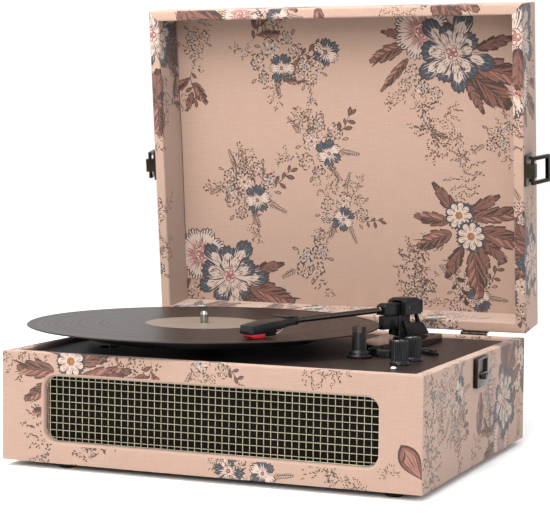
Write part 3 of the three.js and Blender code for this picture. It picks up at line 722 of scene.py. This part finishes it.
def spray(seed, length=34, spread=13, sprigs=11):
    """Fine foliage: wandering stems off a curved spine, dotted on both sides with touches of the pen."""
    draw = random.Random(seed)
    step = 1.15
    shapes = []
    for i in range(sprigs):
        t = (i + draw.random()) / sprigs
        x, y = length * t, 4 * math.sin(t * 3)
        lean = (1 if i % 2 else -1) * draw.uniform(0.4, 1.3)
        reach = spread * 0.6 * math.sin(math.pi * (0.15 + 0.75 * t)) * draw.uniform(0.7, 1.3)
        bend = draw.uniform(-0.16, 0.16)
        for _ in range(max(3, round(reach / 0.95))):
            lean += bend
            x, y = x + step * math.cos(lean), y + step * math.sin(lean)
            side = draw.choice((1, -1))
            turn = lean + side * draw.uniform(0.2, 1.5)
            out = side * draw.uniform(0.4, 1.5)
            ink = "rust" if draw.random() < 0.2 else "line"
            size = draw.uniform(1.4, 3.1)
            width = draw.uniform(0.9, 1.5)
            touch = dash(x - out * math.sin(lean), y + out * math.cos(lean), size, turn, width)
            shapes.append((ink, touch))
    return shapes


def fern(seed, length=22, pairs=9):
    """A pen-drawn frond: a spine with fine strokes on both sides."""
    draw = random.Random(seed)
    shapes = [("line", stroke([(0, 0), (length * 0.5, 1.4), (length, 0.4)], 0.8))]
    for i in range(pairs):
        u = length * (i + 1) / (pairs + 1)
        reach = 5.2 * (1 - 0.55 * i / pairs) * draw.uniform(0.8, 1.2)
        for side in (1, -1):
            turn = side * draw.uniform(0.45, 0.95)
            shapes.append(("line", dash(u + reach * 0.35, 0.6 + side * reach * 0.35, reach, turn, 1.0)))
    return shapes


def burst(seed):
    """Pen strokes that fan out from one point."""
    draw = random.Random(seed)
    count = 34
    shapes = []
    for i in range(count):
        angle = math.radians(-25 + 230 * i / count + draw.uniform(-4, 4))
        reach = draw.uniform(3, 15)
        length = draw.uniform(2.5, 5.5)
        shapes.append(("line", dash(reach * math.cos(angle), reach * math.sin(angle), length, angle, 1.1)))
    return shapes


def dark_leaf(seed, length, width):
    return leaf(seed, length, width, "umber", "rust")


def peony_group(seed):
    """The large group: peony, rose flower, dark leaves and a tail of small flowers."""
    tail = []
    for i, (x, y, size) in enumerate(((-39, 16, 1), (-30, 30, 1), (-18, 36, 0.95), (-45, 28, 0.8))):
        tail.append((pen_flower(seed + 20 + i, 5 + i % 2, 7.6), x, y, 40 * i, size))
    return arranged(
        (dark_leaf(seed + 1, 50, 27), 14, 16, 40),
        (leaf(seed + 2, 48, 22), 20, 10, 16),
        (dark_leaf(seed + 3, 36, 12), 22, -4, -16),
        (dark_leaf(seed + 11, 34, 10), 12, 24, 62),
        (leaf(seed + 4, 36, 14), -46, -8, 156),
        (leaf(seed + 5, 40, 9), -42, 4, 132),
        (dark_leaf(seed + 12, 26, 9), -42, -16, 190),
        (spray(seed + 6, 50, 20, 15), -34, 36, 62),
        (spray(seed + 13, 30, 14, 9), -36, 34, 150),
        (spray(seed + 14, 34, 14, 10), 2, 40, 98),
        *tail,
        (rose_flower(seed + 9), -29, -20, 20, 1.08),
        (peony(seed + 10), 0, 0, 8),
    )


def daisy_group(seed):
    """Two daisies in a star of rust leaves, with foliage above and below."""
    star = (
        (-6, -8, -128, 38, 12, True), (-14, -2, 188, 34, 13, False), (-12, 8, 158, 36, 16, False),
        (4, -10, -30, 34, 12, True), (8, -6, -8, 50, 15, False), (14, 6, 14, 44, 20, False),
        (16, 14, 40, 30, 11, True), (-2, 20, 118, 34, 13, True), (8, 24, 82, 44, 20, False),
        (12, 18, 62, 24, 9, True),
    )
    leaves = []
    for x, y, turn, length, width, dark in star:
        shape = (dark_leaf if dark else leaf)(seed + turn + 300, length, width)
        leaves.append((shape, x, y, turn))
    return arranged(
        (spray(seed, 44, 24, 14), 2, -20, -96),
        (spray(seed + 1, 58, 22, 17), -16, 14, 148),
        (spray(seed + 6, 30, 14, 9), -30, 44, 120),
        *leaves,
        (twig(seed + 2, 4, 24, "umber"), -8, 44, 78),
        (fern(seed + 3), 4, 66, 40),
        (pen_flower(seed + 7, 5, 5.5), -44, 50),
        (pen_flower(seed + 8, 6, 6), -34, 58),
        (daisy(seed + 4), -5, -8, 0, 1.1),
        (daisy(seed + 5), 6, 11, 0, 1.15),
    )


def posy(seed):
    """A loose posy of small flowers: a dark pansy among pen-drawn ones."""
    flowers = ((-14, -6, 10.5), (-20, 12, 8), (9, -15, 8), (-6, -22, 6.5), (-8, 22, 6))
    leaves = ((-24, -2, 160), (16, -8, -10), (-2, -26, -100), (-14, 26, 110))
    return arranged(
        (fern(seed), -24, -12, -130),
        (fern(seed + 1), 12, 2, 8),
        (fern(seed + 8, 18), 2, 14, 50),
        (spray(seed + 2, 34, 15, 10), 2, 10, 60),
        (twig(seed + 3, 5, 22), 10, -14, -42),
        (spray(seed + 9, 32, 15, 10), -14, -8, -120),
        (spray(seed + 10, 28, 13, 8), -22, 10, 170),
        *[(pen_flower(seed + 20 + i, 5 + i % 3, r), x, y, 30 * i) for i, (x, y, r) in enumerate(flowers)],
        *[(small_leaf("ground", 7), *place) for place in leaves],
        (pansy(seed + 7), 3, 5, 30, 1.1),
    )


def sprig(seed):
    """A pen-drawn sprig of small flowers and leaves."""
    flowers = ((-6, -3), (7, -7), (4, 7), (-8, 9))
    leaves = ((12, -2, 10), (-12, -8, 200), (0, 14, 100))
    return arranged(
        (fern(seed, 16, 6), -14, 8, 150),
        (spray(seed + 4, 26, 11, 8), -4, -4, -70),
        (spray(seed + 5, 24, 10, 7), 4, 8, 60),
        *[(pen_flower(seed + 20 + i, 5, 6.8), x, y, 50 * i) for i, (x, y) in enumerate(flowers)],
        *[(small_leaf("ground", 6.5), *place) for place in leaves],
    )


def rust_twigs(seed):
    return arranged(
        (twig(seed, 6, 30), -8, -8, 50),
        (leaf(seed + 1, 24, 10), 2, 2, 20),
        (leaf(seed + 2, 24, 9), -4, 4, 110),
        (dark_leaf(seed + 4, 20, 7), 6, 10, 70),
        (spray(seed + 3, 28, 12, 8), 4, 12, 80),
    )


def corner_shade_line(_seed):
    """Painted shade: a dark line where the cloth folds and meets itself, in the lid's inside left corner."""
    return [("umber", stroke([(-132, 0), (-70, 0.3), (-10, -0.2), (60, 0.2), (132, 0)], 1.0))]


MOTIFS = {
    "peony": peony_group, "daisy": daisy_group, "posy": posy, "sprig": sprig, "twigs": rust_twigs,
    "pansy": pansy, "rose": rose_flower, "burst": burst, "corner_shade_line": corner_shade_line,
    "spray": lambda seed: moved(spray(seed, 46, 18, 14), -22, 0),
    "leaf": lambda seed: moved(leaf(seed, 26, 14), -13, 0),
    "dark_leaf": lambda seed: moved(dark_leaf(seed, 30, 15), -15, 0),
    "smooth_leaf": lambda seed: moved(smooth_leaf(seed), -15, 0),
}

# ------------------------------------------------------------------ cloth-covered boards


def wrapped_board(path, half_length, motifs):
    """A closed board: printed cloth follows the path, and plain faces close it.

    Path points are (depth, height). half_length gives half the board's length at a depth. Motifs are
    placed by (kind, seed, along, across, turn, size), with across measured along the path.
    """
    across = [0.0]
    for a, b in zip(path, path[1:]):
        across.append(across[-1] + math.dist(a, b))
    halves = [half_length(depth) for depth, _ in path]
    points, edges, faces, inks = [], [], [], []

    def add_face(shape):
        first = len(points)
        points.extend(Vector(p) for p in shape)
        faces.append(list(range(first, len(points))))

    left = [(-h, v) for h, v in zip(halves, across)]
    right = [(h, v) for h, v in zip(halves, across)]
    add_face(right + left[::-1])
    inks.append("ground")
    count = len(path)
    edges += [(k, 2 * count - 1 - k) for k in range(1, count - 1)]
    reach = max(halves) + 1
    for kind, seed, along, down, turn, size in motifs:
        for ink, shape in moved(MOTIFS[kind](seed), along, down, turn, size):
            if all(abs(u) > reach for u, _ in shape) or all(v < 0 or v > across[-1] for _, v in shape):
                continue
            area = sum(a[0] * b[1] - b[0] * a[1] for a, b in zip(shape, shape[1:] + shape[:1]))
            add_face(shape if area > 0 else shape[::-1])
            inks.append(ink)

    out_points, _, out_faces, _, _, origins = delaunay_2d_cdt(points, edges, faces, 1, 1e-5)
    bm = bmesh.new()
    ink_layer = bm.loops.layers.float_color.new("ink")
    uv_layer = bm.loops.layers.uv.new("cloth")

    def lift(point):
        v = min(max(point[1], 0), across[-1])
        k = max(i for i in range(count - 1) if across[i] <= v + 1e-9)
        t = (v - across[k]) / (across[k + 1] - across[k])
        return tuple(a + t * (b - a) for a, b in zip(path[k], path[k + 1]))

    verts = {}
    for face, origin in zip(out_faces, origins):
        if 0 not in origin:
            continue
        corners = []
        for i in face:
            if i not in verts:
                depth, height = lift(out_points[i])
                verts[i] = bm.verts.new((out_points[i][0], depth, height))
            corners.append(verts[i])
        new = bm.faces.new(corners)
        ink = inks[max(origin)]
        color = (*INKS[ink], 0 if ink == "ground" else 1)
        for loop, i in zip(new.loops, face):
            loop[ink_layer] = color
            loop[uv_layer].uv = out_points[i] * MM

    def rim(test, order):
        return [verts[i] for i in sorted((i for i in verts if test(out_points[i])), key=order)]

    tolerance = 1e-3
    low = rim(lambda p: p[1] < tolerance, lambda i: out_points[i][0])
    high = rim(lambda p: p[1] > across[-1] - tolerance, lambda i: out_points[i][0])

    def at_end(side):
        def test(p):
            return abs(side * p[0] - half_length(lift(p)[0])) < tolerance
        return rim(test, lambda i: out_points[i][1])

    for ring in (low + high[::-1], at_end(1), at_end(-1)):
        closing = bm.faces.new(ring)
        for loop in closing.loops:
            loop[ink_layer] = (*GROUND, 0)
            loop[uv_layer].uv = (loop.vert.co.x * MM, loop.vert.co.z * MM)
    return bm


SIDES = {
    "front": (CASE_W, 0, 0, 0),
    "right": (CASE_D, CASE_W / 2, CASE_D / 2, math.pi / 2),
    "rear": (CASE_W, 0, CASE_D, math.pi),
    "left": (CASE_D, -CASE_W / 2, CASE_D / 2, -math.pi / 2),
}

# (kind, seed, along, across, turn, size): along runs to the right seen from outside, across runs up.
BASE_PRINT = {
    "front": [
        ("daisy", 11, -117, 71, 20, 0.95), ("spray", 12, -138, 16, 100, 1.2), ("spray", 13, -92, 12, 60, 1.3),
        ("spray", 22, -84, 20, 20, 1), ("spray", 23, -64, 84, 160, 1.2), ("pansy", 14, 22, 6, 0, 1.1),
        ("posy", 15, 48, 2, 0, 0.85), ("burst", 16, 97, 8, 0, 1), ("burst", 24, 152, 13, 20, 0.6),
        ("smooth_leaf", 17, 169, 24, 124, 1.0), ("posy", 18, 8, 94, 10, 0.8), ("spray", 19, 100, 84, 10, 0.9),
        ("leaf", 21, -141, 41, 186, 0.65), ("twigs", 25, -48, 78, 200, 0.9), ("spray", 26, 120, 6, 160, 0.9),
    ],
    "right": [
        ("spray", 31, -120, 40, 85, 1.7), ("spray", 32, -106, 22, 70, 1.3), ("spray", 40, -128, 14, 100, 1.2),
        ("sprig", 46, -100, 60, 0, 1), ("spray", 47, -134, 76, 60, 0.9), ("posy", 33, -54, 62, 0, 0.95),
        ("spray", 37, -44, 24, 80, 1.4), ("spray", 48, -60, 34, 110, 1.1), ("leaf", 34, 6, 40, 80, 1.3),
        ("sprig", 49, 28, 58, 0, 1), ("twigs", 38, 36, 16, 20, 0.9), ("spray", 50, 0, 12, 30, 1),
        ("daisy", 36, 126, 62, 0, 0.9), ("peony", 35, 80, 42, 40, 0.95),
    ],
    "rear": [
        ("peony", 41, -96, 40, 15, 1), ("daisy", 42, 96, 48, 200, 1), ("posy", 43, 10, 44, 0, 1),
        ("sprig", 44, -30, 16, 20, 1), ("spray", 45, 40, 12, 20, 1),
    ],
    "left": [
        ("daisy", 51, -80, 44, 10, 1), ("posy", 52, 8, 52, 30, 1), ("peony", 53, 98, 46, 190, 1),
        ("sprig", 54, -20, 14, 0, 1),
    ],
}
# On the lid's walls across starts at the top panel and runs down the outside, over the rim and in.
LID_PRINT = {
    "front": [
        ("peony", 62, 96, 8, 20, 0.8), ("daisy", 63, -60, 14, 0, 0.8), ("dark_leaf", 64, -124, 45, 190, 1.5),
        ("rose", 65, -84, 44, 0, 0.8), ("posy", 66, -50, 42, 0, 0.8), ("leaf", 67, -8, 46, 80, 0.7),
        ("dark_leaf", 68, -142, 48, 250, 0.9), ("spray", 69, -20, 76, 0, 1), ("sprig", 70, -100, 70, 0, 0.8),
    ],
    "right": [
        ("peony", 71, -116, 46, 150, 1.15), ("peony", 72, 84, 14, 90, 0.9), ("spray", 73, -50, 44, 0, 1.3),
        ("dark_leaf", 74, -88, 42, 0, 1.2), ("twigs", 75, 66, 66, 0, 1), ("spray", 76, -30, 70, 10, 1.2),
        ("posy", 77, 112, 50, 20, 0.9), ("spray", 78, 16, 56, 0, 1.2), ("sprig", 79, 40, 34, 0, 0.9),
    ],
    "rear": [
        ("daisy", 81, 60, 30, 0, 0.8), ("posy", 82, -60, 34, 0, 1), ("spray", 83, -20, 74, 10, 1),
        ("posy", 84, -96, 52, 0, 0.9), ("rose", 85, -50, 50, 0, 0.6), ("posy", 86, 30, 66, 0, 0.9),
        ("spray", 87, 70, 50, 0, 1), ("peony", 88, 142, 40, 90, 0.7),
    ],
    "left": [
        ("peony", 91, 122, 40, 70, 1), ("dark_leaf", 92, 70, 42, 10, 1.4), ("spray", 93, 36, 40, 0, 1.2),
        ("leaf", 94, 44, 44, 180, 1.2), ("sprig", 95, -40, 30, 10, 1), ("spray", 96, 104, 72, 20, 1.3),
        ("twigs", 97, 60, 72, 0, 0.9), ("posy", 98, -90, 16, 0, 1),
    ],
}
# On the top panel across runs back over the inside, then forward over the outside.
TOP_PRINT = [
    # The first entry is painted shade: a dark line in the lid's inside left corner.
    ("corner_shade_line", 100, -167.6, 144, 90, 1), ("spray", 116, -96, 148, 20, 1), ("spray", 113, 84, 108, 80, 1.3),
    ("spray", 119, 100, 122, 20, 1), ("sprig", 114, 146, 118, 0, 0.9), ("spray", 112, 70, 234, 120, 1.3),
    ("twigs", 115, -62, 66, 250, 0.8), ("spray", 120, -30, 112, 200, 1.1), ("sprig", 118, -112, 160, 0, 1),
    ("posy", 103, -20, 130, 0, 1), ("posy", 104, -92, 174, 20, 1.05), ("posy", 106, -62, 50, 30, 1),
    ("pansy", 107, -18, 42, 90, 1.15), ("sprig", 131, -34, 58, 20, 1), ("twigs", 108, -88, 22, 250, 0.9),
    ("twigs", 132, -152, 66, 40, 1), ("sprig", 109, -36, 236, 0, 1.15), ("sprig", 110, -148, 30, 20, 0.9),
    ("posy", 111, -2, 192, 60, 0.85), ("posy", 117, 122, 262, 0, 0.9), ("sprig", 133, 66, 262, 0, 1),
    ("daisy", 102, 112, 198, 0, 1), ("peony", 105, -122, 254, 0, 1), ("peony", 101, 104, 44, 0, 1),
    ("peony", 121, 104, 340, 0, 1), ("daisy", 122, 112, 490, 0, 1), ("posy", 123, -17, 430, 0, 1),
    ("posy", 124, -94, 470, 20, 1), ("peony", 125, -122, 548, 0, 1), ("posy", 126, -52, 342, 30, 1),
    ("sprig", 127, -36, 530, 0, 1.1), ("twigs", 128, -150, 330, 60, 1), ("spray", 129, 66, 420, 100, 1),
    ("sprig", 130, -156, 390, 90, 1),
]


def side_matrix(name):
    _, x, y, turn = SIDES[name]
    return Matrix.Translation((x, y, 0)) @ Matrix.Rotation(turn, 4, "Z")


def window_outline(grow):
    """The outline of the grille's opening as (x, z) points in the front board's own frame."""
    steps = 10
    radius = GRILLE["radius"] + grow
    left, right = GRILLE["left"] - grow, GRILLE["right"] + grow
    low, high = GRILLE["bottom"] - grow, GRILLE["top"] + grow
    corners = [
        (right - radius, low + radius, -90), (right - radius, high - radius, 0),
        (left + radius, high - radius, 90), (left + radius, low + radius, 180),
    ]
    outline = []
    for x, z, start in corners:
        for i in range(steps + 1):
            angle = math.radians(start + 90 * i / steps)
            outline.append((x + radius * math.cos(angle), z + radius * math.sin(angle)))
    return outline


def grille_window():
    """The grille's opening, with the cloth rolled into its edge."""
    roll = 2.0
    bm = bmesh.new()
    stations = [(roll + 0.4, -0.6)]
    for i in range(7):
        angle = math.radians(15 * i)
        stations.append((roll * (1 - math.sin(angle)), roll * (1 - math.cos(angle))))
    stations.append((0, BOARD + 1))
    skin(bm, [[bm.verts.new((x, depth, z)) for x, z in window_outline(grow)] for grow, depth in stations])
    return bm


def socket_window():
    """The opening for the power socket, in the rear board's own frame."""
    x, z = -80, 41
    width, height, spare = 60, 28, 2
    return block(Matrix.Translation((x, BOARD / 2, z)), (width, BOARD + spare, height))


def cut_out(board, place, bm):
    """Takes a closed shape, drawn in millimetres, out of a board."""
    bmesh.ops.recalc_face_normals(bm, faces=bm.faces)
    ink = bm.loops.layers.float_color.new("ink")
    bm.loops.layers.uv.new("cloth")
    for face in bm.faces:
        for loop in face.loops:
            loop[ink] = (*GROUND, 0)
    mesh = bpy.data.meshes.new("window")
    bm.to_mesh(mesh)
    bm.free()
    mesh.transform(place)
    mesh.materials.append(MATERIALS["printed_cloth"])
    cutter = bpy.data.objects.new("window", mesh)
    bpy.context.scene.collection.objects.link(cutter)
    change = board.modifiers.new("window", "BOOLEAN")
    change.operation = "DIFFERENCE"
    change.solver = "EXACT"
    change.object = cutter
    apply_modifiers(board)
    bpy.data.objects.remove(cutter)
    board.data.shade_smooth()
    board.data.set_sharp_from_angle(angle=math.radians(SHARP))


def apply_modifiers(piece):
    graph = bpy.context.evaluated_depsgraph_get()
    mesh = bpy.data.meshes.new_from_object(piece.evaluated_get(graph), depsgraph=graph)
    piece.modifiers.clear()
    piece.data = mesh


def mitred(name):
    """Half the length of a side's board at a depth, with its ends cut at 45 degrees."""
    length = SIDES[name][0]
    return lambda depth: length / 2 - CLEAR / 4 - depth


def wall_path(start, turn):
    """The cloth's way along a wall: outside from start to turn, over the edge, and back inside."""
    corner = 1.5
    return rounded_profile([(0, start), (0, turn), (BOARD, turn), (BOARD, start)], corner, WRAP_STEPS)


def build_base_boards():
    foot = 0.3
    windows = {"front": grille_window, "rear": socket_window}
    for name, motifs in BASE_PRINT.items():
        bm = wrapped_board(wall_path(foot, BASE_H), mitred(name), motifs)
        place = CASE @ side_matrix(name)
        node = f"base_{name}_board"
        board = finish_piece(f"{node}_cloth", bm, place, "case", "printed_cloth", replaces=[node])
        if name in windows:
            cut_out(board, place, windows[name]())


def build_lid_boards():
    wall_top = LID_H - LID_TOP
    for name, motifs in LID_PRINT.items():
        bm = wrapped_board(wall_path(wall_top, RIM_LOW), mitred(name), motifs)
        node = f"lid_{name}_board"
        finish_piece(f"{node}_cloth", bm, LID @ side_matrix(name), "lid", "printed_cloth", replaces=[node])
    gap, seam, corner = 0.02, 0.6, 1.6
    seat = wall_top + gap
    ring = [(0, seat), (CASE_D, seat), (CASE_D, LID_H), (0, LID_H), (0, seat + seam)]
    bm = wrapped_board(rounded_profile(ring, corner, WRAP_STEPS), lambda depth: CASE_W / 2, TOP_PRINT)
    finish_piece("lid_top_cloth", bm, LID, "lid", "printed_cloth", replaces=["lid_top_board"])


# ------------------------------------------------------------------ grille


def corner_inset(cross, first, last, radius):
    """How far a rounded corner shortens a wire that runs at this distance across the opening."""
    edge = min(cross - first, last - cross)
    if edge >= radius:
        return 0.0
    return radius - math.sqrt(radius * radius - (radius - edge) ** 2)


def build_grille():
    """Woven wire in a thin rim: each wire waves over and under the ones that it crosses."""
    pitch, wire, wave, margin = 5.8, 0.31, 0.13, 3.2
    depth = GRILLE_FRONT + 0.7
    left, right = GRILLE["left"] + CLEAR, GRILLE["right"] - CLEAR
    low, high = GRILLE["bottom"] + CLEAR, GRILLE["top"] - CLEAR
    radius = GRILLE["radius"] - CLEAR
    bm = bmesh.new()

    def wires(first, last, cross_first, cross_last, vertical):
        for k in range(int((cross_last - cross_first - margin) / pitch) + 1):
            cross = cross_first + margin + pitch * k
            inset = corner_inset(cross, cross_first, cross_last, radius)
            length = last - first - 2 * inset
            steps = round(length / pitch * 4)
            points = []
            for i in range(steps + 1):
                run = first + inset + length * i / steps
                swing = wave * math.cos(math.pi * (run - first - margin) / pitch) * (1 if k % 2 else -1)
                points.append((cross, depth + swing, run) if vertical else (run, depth - swing, cross))
            tube(bm, points, wire, 6)

    wires(low, high, left, right, True)
    wires(left, right, low, high, False)
    rim_radius = 0.35
    rim = [(x, depth, z) for x, z in window_outline(-CLEAR - rim_radius)]
    tube(bm, [*rim, rim[0]], rim_radius, 8)
    finish_piece(
        "speaker_grille_mesh", bm, CASE, "case", "grille_metal", replaces=["speaker_grille"], sharp=60,
    )


# ------------------------------------------------------------------ record, platter and spindle


def build_turntable():
    bottom, top = BASE_H + 13.3, BASE_H + 14.7
    rim, middle, hole = RECORD_RADIUS, LABEL_RADIUS, 3.7
    record = [
        (0, bottom + 0.1), (middle + 2, bottom + 0.1), (60, bottom + 0.4), (rim - 3, bottom + 0.4),
        (rim - 1, bottom), (rim, bottom + 0.7), (rim - 1.2, top), (rim - 4, top - 0.3), (123, top - 0.35),
        (121, top - 0.25), (middle + 5, top - 0.3), (middle + 1, top - 0.1), (middle, top - 0.12),
        (0, top - 0.12),
    ]
    disc = turned_piece(
        "record", record, SPINDLE, "platter", "gloss_plastic", radius=0.8, steps=160, material="record_vinyl",
        uv=True, sharp=50,
    )
    label = [
        (hole, top - 0.1), (middle, top - 0.1), (middle, top), (34, top + 0.02), (hole, top + 0.02),
        (hole, top - 0.1),
    ]
    paper = turned_piece(
        "record_label", label, SPINDLE, "platter", "felt", radius=0.05, material="label_paper", uv=True,
    )
    shaft = [
        (0, BASE_H + 14), (3.5, BASE_H + 14), (3.5, BASE_H + 22), (3.3, BASE_H + 23), (2.6, BASE_H + 24.4),
        (1.2, BASE_H + 25.1), (0, BASE_H + 25.2),
    ]
    turned_piece(
        "spindle_tip", shaft, SPINDLE, "platter", "steel", radius=0.3, steps=48, replaces=["spindle"],
    )
    return disc, paper


# ------------------------------------------------------------------ tonearm, controls and hardware


def fluted_knob(name, centre):
    """A finger knob: fine flutes, a skirt, a dished top with a raised pointer."""
    bottom, top = BASE_H - 2.7, BASE_H + 16.1
    flutes, steps = 20, 8
    # Each station gives a radius, a height and how deep the flutes are cut there.
    stations = [
        (7.7, bottom, 0), (7.7, bottom + 1.6, 0), (7.2, bottom + 2.2, 0), (6.9, bottom + 2.8, 0.2),
        (6.9, bottom + 3.4, 0.7), (6.7, top - 1.6, 0.7), (6.4, top - 0.7, 0.4), (5.9, top - 0.1, 0),
        (5.2, top, 0), (4.8, top - 0.5, 0),
    ]
    bm = bmesh.new()
    count = flutes * steps
    rings = []
    for radius, height, depth in stations:
        ring = []
        for i in range(count):
            angle = 2 * math.pi * i / count
            r = radius - depth * (0.5 + 0.5 * math.cos(flutes * angle)) ** 1.6
            ring.append(bm.verts.new((r * math.cos(angle), r * math.sin(angle), height)))
        rings.append(ring)
    skin(bm, rings)
    place = CASE @ Matrix.Translation((*centre, 0))
    body = f"{name}_knob"
    finish_piece(f"{name}_knob_fluted", bm, place, body, "black_plastic", replaces=[body], sharp=40)
    offset, length, width, height = -2.2, 3.6, 0.8, 0.5
    lean = Matrix.Rotation(math.radians(45), 4, "Z")
    mark = block(Matrix.Translation((offset, offset, top - 0.35)) @ lean, (length, width, height))
    bmesh.ops.bevel(mark, geom=mark.edges, offset=0.12, segments=2, affect="EDGES")
    finish_piece(f"{name}_knob_pointer", mark, place, body, "lamp_lens")


def build_arm_tube():
    """The tube, with the collar at its holder. Each station gives a distance along it and a radius."""
    bm = bmesh.new()
    start, droop = Vector((0, -14, 27.7)), math.radians(0.9)
    ahead = Vector((0, -math.cos(droop), -math.sin(droop)))
    stations = [(0, 2.4), (12.1, 2.4), (12.4, 2.8), (14.6, 2.8), (14.9, 2.4), (119, 2.4)]
    sides = 32
    rings = []
    for run, radius in stations:
        centre = start + ahead * run
        ring = []
        for k in range(sides):
            angle = 2 * math.pi * k / sides
            offset = Vector((math.cos(angle), 0, math.sin(angle))) * radius
            ring.append(bm.verts.new(centre + offset))
        rings.append(ring)
    skin(bm, rings)
    finish_piece("tonearm_tube_fine", bm, ARM, "tonearm_wand", "gunmetal", replaces=["tonearm_tube"])


def build_leads():
    """The four thin leads that sag between the cartridge and the tube."""
    steps, thickness = 8, 0.42
    for i, material in enumerate(("white_lead", "red_plastic", "white_lead", "white_lead")):
        wire = bmesh.new()
        points = []
        for k in range(steps + 1):
            t = k / steps
            sag = math.sin(math.pi * t)
            height = 17.6 + 1.2 * i + (5.4 - 1.2 * i) * t - 1.0 * sag
            points.append((5.2 - 2.6 * t - 0.5 * i, -159.6 + 13 * t, height))
        tube(wire, points, thickness)
        finish_piece(f"cartridge_lead_{i + 1}", wire, ARM, "tonearm_wand", "lamp_lens", material=material)


# (body, slot, bevel in millimetres, nodes)
REFINED = [
    ("lid", "antique_bronze", 0.5, ["latch_left_plate", "latch_right_plate"]),
    ("lid", "antique_bronze", 0.2, ["hinge_left_lid_leaf", "hinge_right_lid_leaf"]),
    ("latch_left_loop", "antique_bronze", 0.9, ["latch_left_loop"]),
    ("latch_right_loop", "antique_bronze", 0.9, ["latch_right_loop"]),
    ("case", "antique_bronze", 0.4, ["latch_left_catch", "latch_right_catch"]),
    ("case", "antique_bronze", 0.2, ["hinge_left_base_leaf", "hinge_right_base_leaf"]),
    ("case", "black_plastic", 0.5, ["tonearm_pedestal"]),
    ("case", "black_plastic", 0.4, ["tonearm_rest_post"]),
    ("case", "black_plastic", 0.3, ["rear_socket_plate"]),
    ("tonearm_carriage", "black_plastic", 0.5, ["tonearm_housing"]),
    ("tonearm_carriage", "black_plastic", 0.6, ["tonearm_front_bracket"]),
    ("tonearm_wand", "black_plastic", 0.4, ["tonearm_holder"]),
    ("tonearm_wand", "black_plastic", 0.5, ["headshell"]),
    ("tonearm_wand", "black_plastic", 0.3, ["headshell_finger_lift"]),
    ("cue_lever", "black_plastic", 0.4, ["cue_lever"]),
    ("lift_bar", "black_plastic", 0.4, ["tonearm_lift_bar"]),
    ("speed_selector", "black_plastic", 0.4, ["speed_selector"]),
    ("platter", "black_plastic", 0.5, ["platter"]),
]


def build_refined_parts():
    for body, slot, bevel, nodes in REFINED:
        for node in nodes:
            refine(node, body, slot, bevel)
    refine("tonearm_plinth", "case", "gloss_plastic", 0.6, 3)
    refine("cartridge", "tonearm_wand", "gloss_plastic", 0.4)
    refine("stylus_holder", "tonearm_wand", "red_plastic", 0.3)


def build_feet():
    profile = [(0, -5), (5.8, -5), (7.3, -3.4), (7.3, -0.3), (0, -0.3)]
    for side, x in (("left", -127), ("right", 151)):
        for end, y in (("front", 16), ("rear", CASE_D - 16)):
            node = f"foot_{end}_{side}"
            turned_piece(f"{node}_fine", profile, (x, y), "case", "rubber", 0.8, 48, replaces=[node])


def build_lamp():
    dome = [(0, -2.7), (2.2, -2.7), (2.1, -1.8), (1.3, -1.1), (0, -0.9)]
    profile = [(radius, BASE_H + height) for radius, height in dome]
    turned_piece(
        "indicator_lamp_dome", profile, LAMP, "case", "lamp_lens", 0.3, 32, replaces=["indicator_lamp"],
    )


def paint_cad_nodes():
    """Every CAD node that still shows gets the material of its slot in the record."""
    for part in frame["record"]["subparts"]:
        node = frame["nodes"][part["node"]]
        node.data.materials.clear()
        node.data.materials.append(MATERIALS[part["material_slot"]])


# ------------------------------------------------------------------ camera, floor and light


def build_stage():
    floor_mesh = bpy.data.meshes.new("floor")
    reach = 30
    corners = [(-reach, -reach, 0), (reach, -reach, 0), (reach, reach, 0), (-reach, reach, 0)]
    floor_mesh.from_pydata(corners, [], [(0, 1, 2, 3)])
    floor = bpy.data.objects.new("floor", floor_mesh)
    bpy.context.scene.collection.objects.link(floor)
    nodes = Nodes("floor", (0.96, 0.96, 0.96), 0.9)
    nodes.set(nodes.shader, "Specular IOR Level", 0.0)
    floor_mesh.materials.append(nodes.material)


def build_light():
    world = bpy.data.worlds.new("studio")
    world.use_nodes = True
    background = world.node_tree.nodes["Background"]
    background.inputs["Color"].default_value = (1, 1, 1, 1)
    background.inputs["Strength"].default_value = 1.04
    bpy.context.scene.world = world
    # Each lamp has a place in metres, a power in watts and a size in metres.
    lamps = {
        "key": ((0.35, -2.9, 1.5), 75, 1.5),
        "fill": ((2.5, -0.5, 1.2), 9, 1.5),
        "overhead": ((-0.1, -0.26, 0.85), 14, 0.55),
    }
    middle = Vector((0, 0, 0.12))
    for name, (place, power, size) in lamps.items():
        lamp = bpy.data.lights.new(name, "AREA")
        lamp.energy = power
        lamp.size = size
        holder = bpy.data.objects.new(name, lamp)
        holder.location = place
        aim = middle - Vector(place)
        holder.rotation_euler = aim.to_track_quat("-Z", "Y").to_euler()
        bpy.context.scene.collection.objects.link(holder)
    bpy.context.scene.view_settings.view_transform = "Standard"


def build_camera():
    lens = bpy.data.cameras.new("camera")
    lens.sensor_width = 36
    lens.lens = 117.36
    camera = bpy.data.objects.new("camera", lens)
    turn, pitch, roll = 0.3936368, -0.0651794, -0.0092189
    basis = Matrix.Rotation(turn, 4, "Z") @ Matrix.Rotation(pitch, 4, "X") @ Matrix.Rotation(roll, 4, "Y")
    place = Matrix.Translation((0.575395, base_corner.y - 1.242843, 0.26468))
    camera.matrix_world = place @ basis @ Matrix.Rotation(math.pi / 2, 4, "X")
    bpy.context.scene.collection.objects.link(camera)
    bpy.context.scene.camera = camera


# ------------------------------------------------------------------ assembly

build_camera()
build_stage()
build_light()
paint_cad_nodes()
build_base_boards()
build_lid_boards()
build_grille()
record_pieces = build_turntable()
build_refined_parts()
build_feet()
build_arm_tube()
build_leads()
for knob_name, knob_centre in KNOBS.items():
    fluted_knob(knob_name, knob_centre)
build_lamp()
for piece in record_pieces:
    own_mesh(piece)
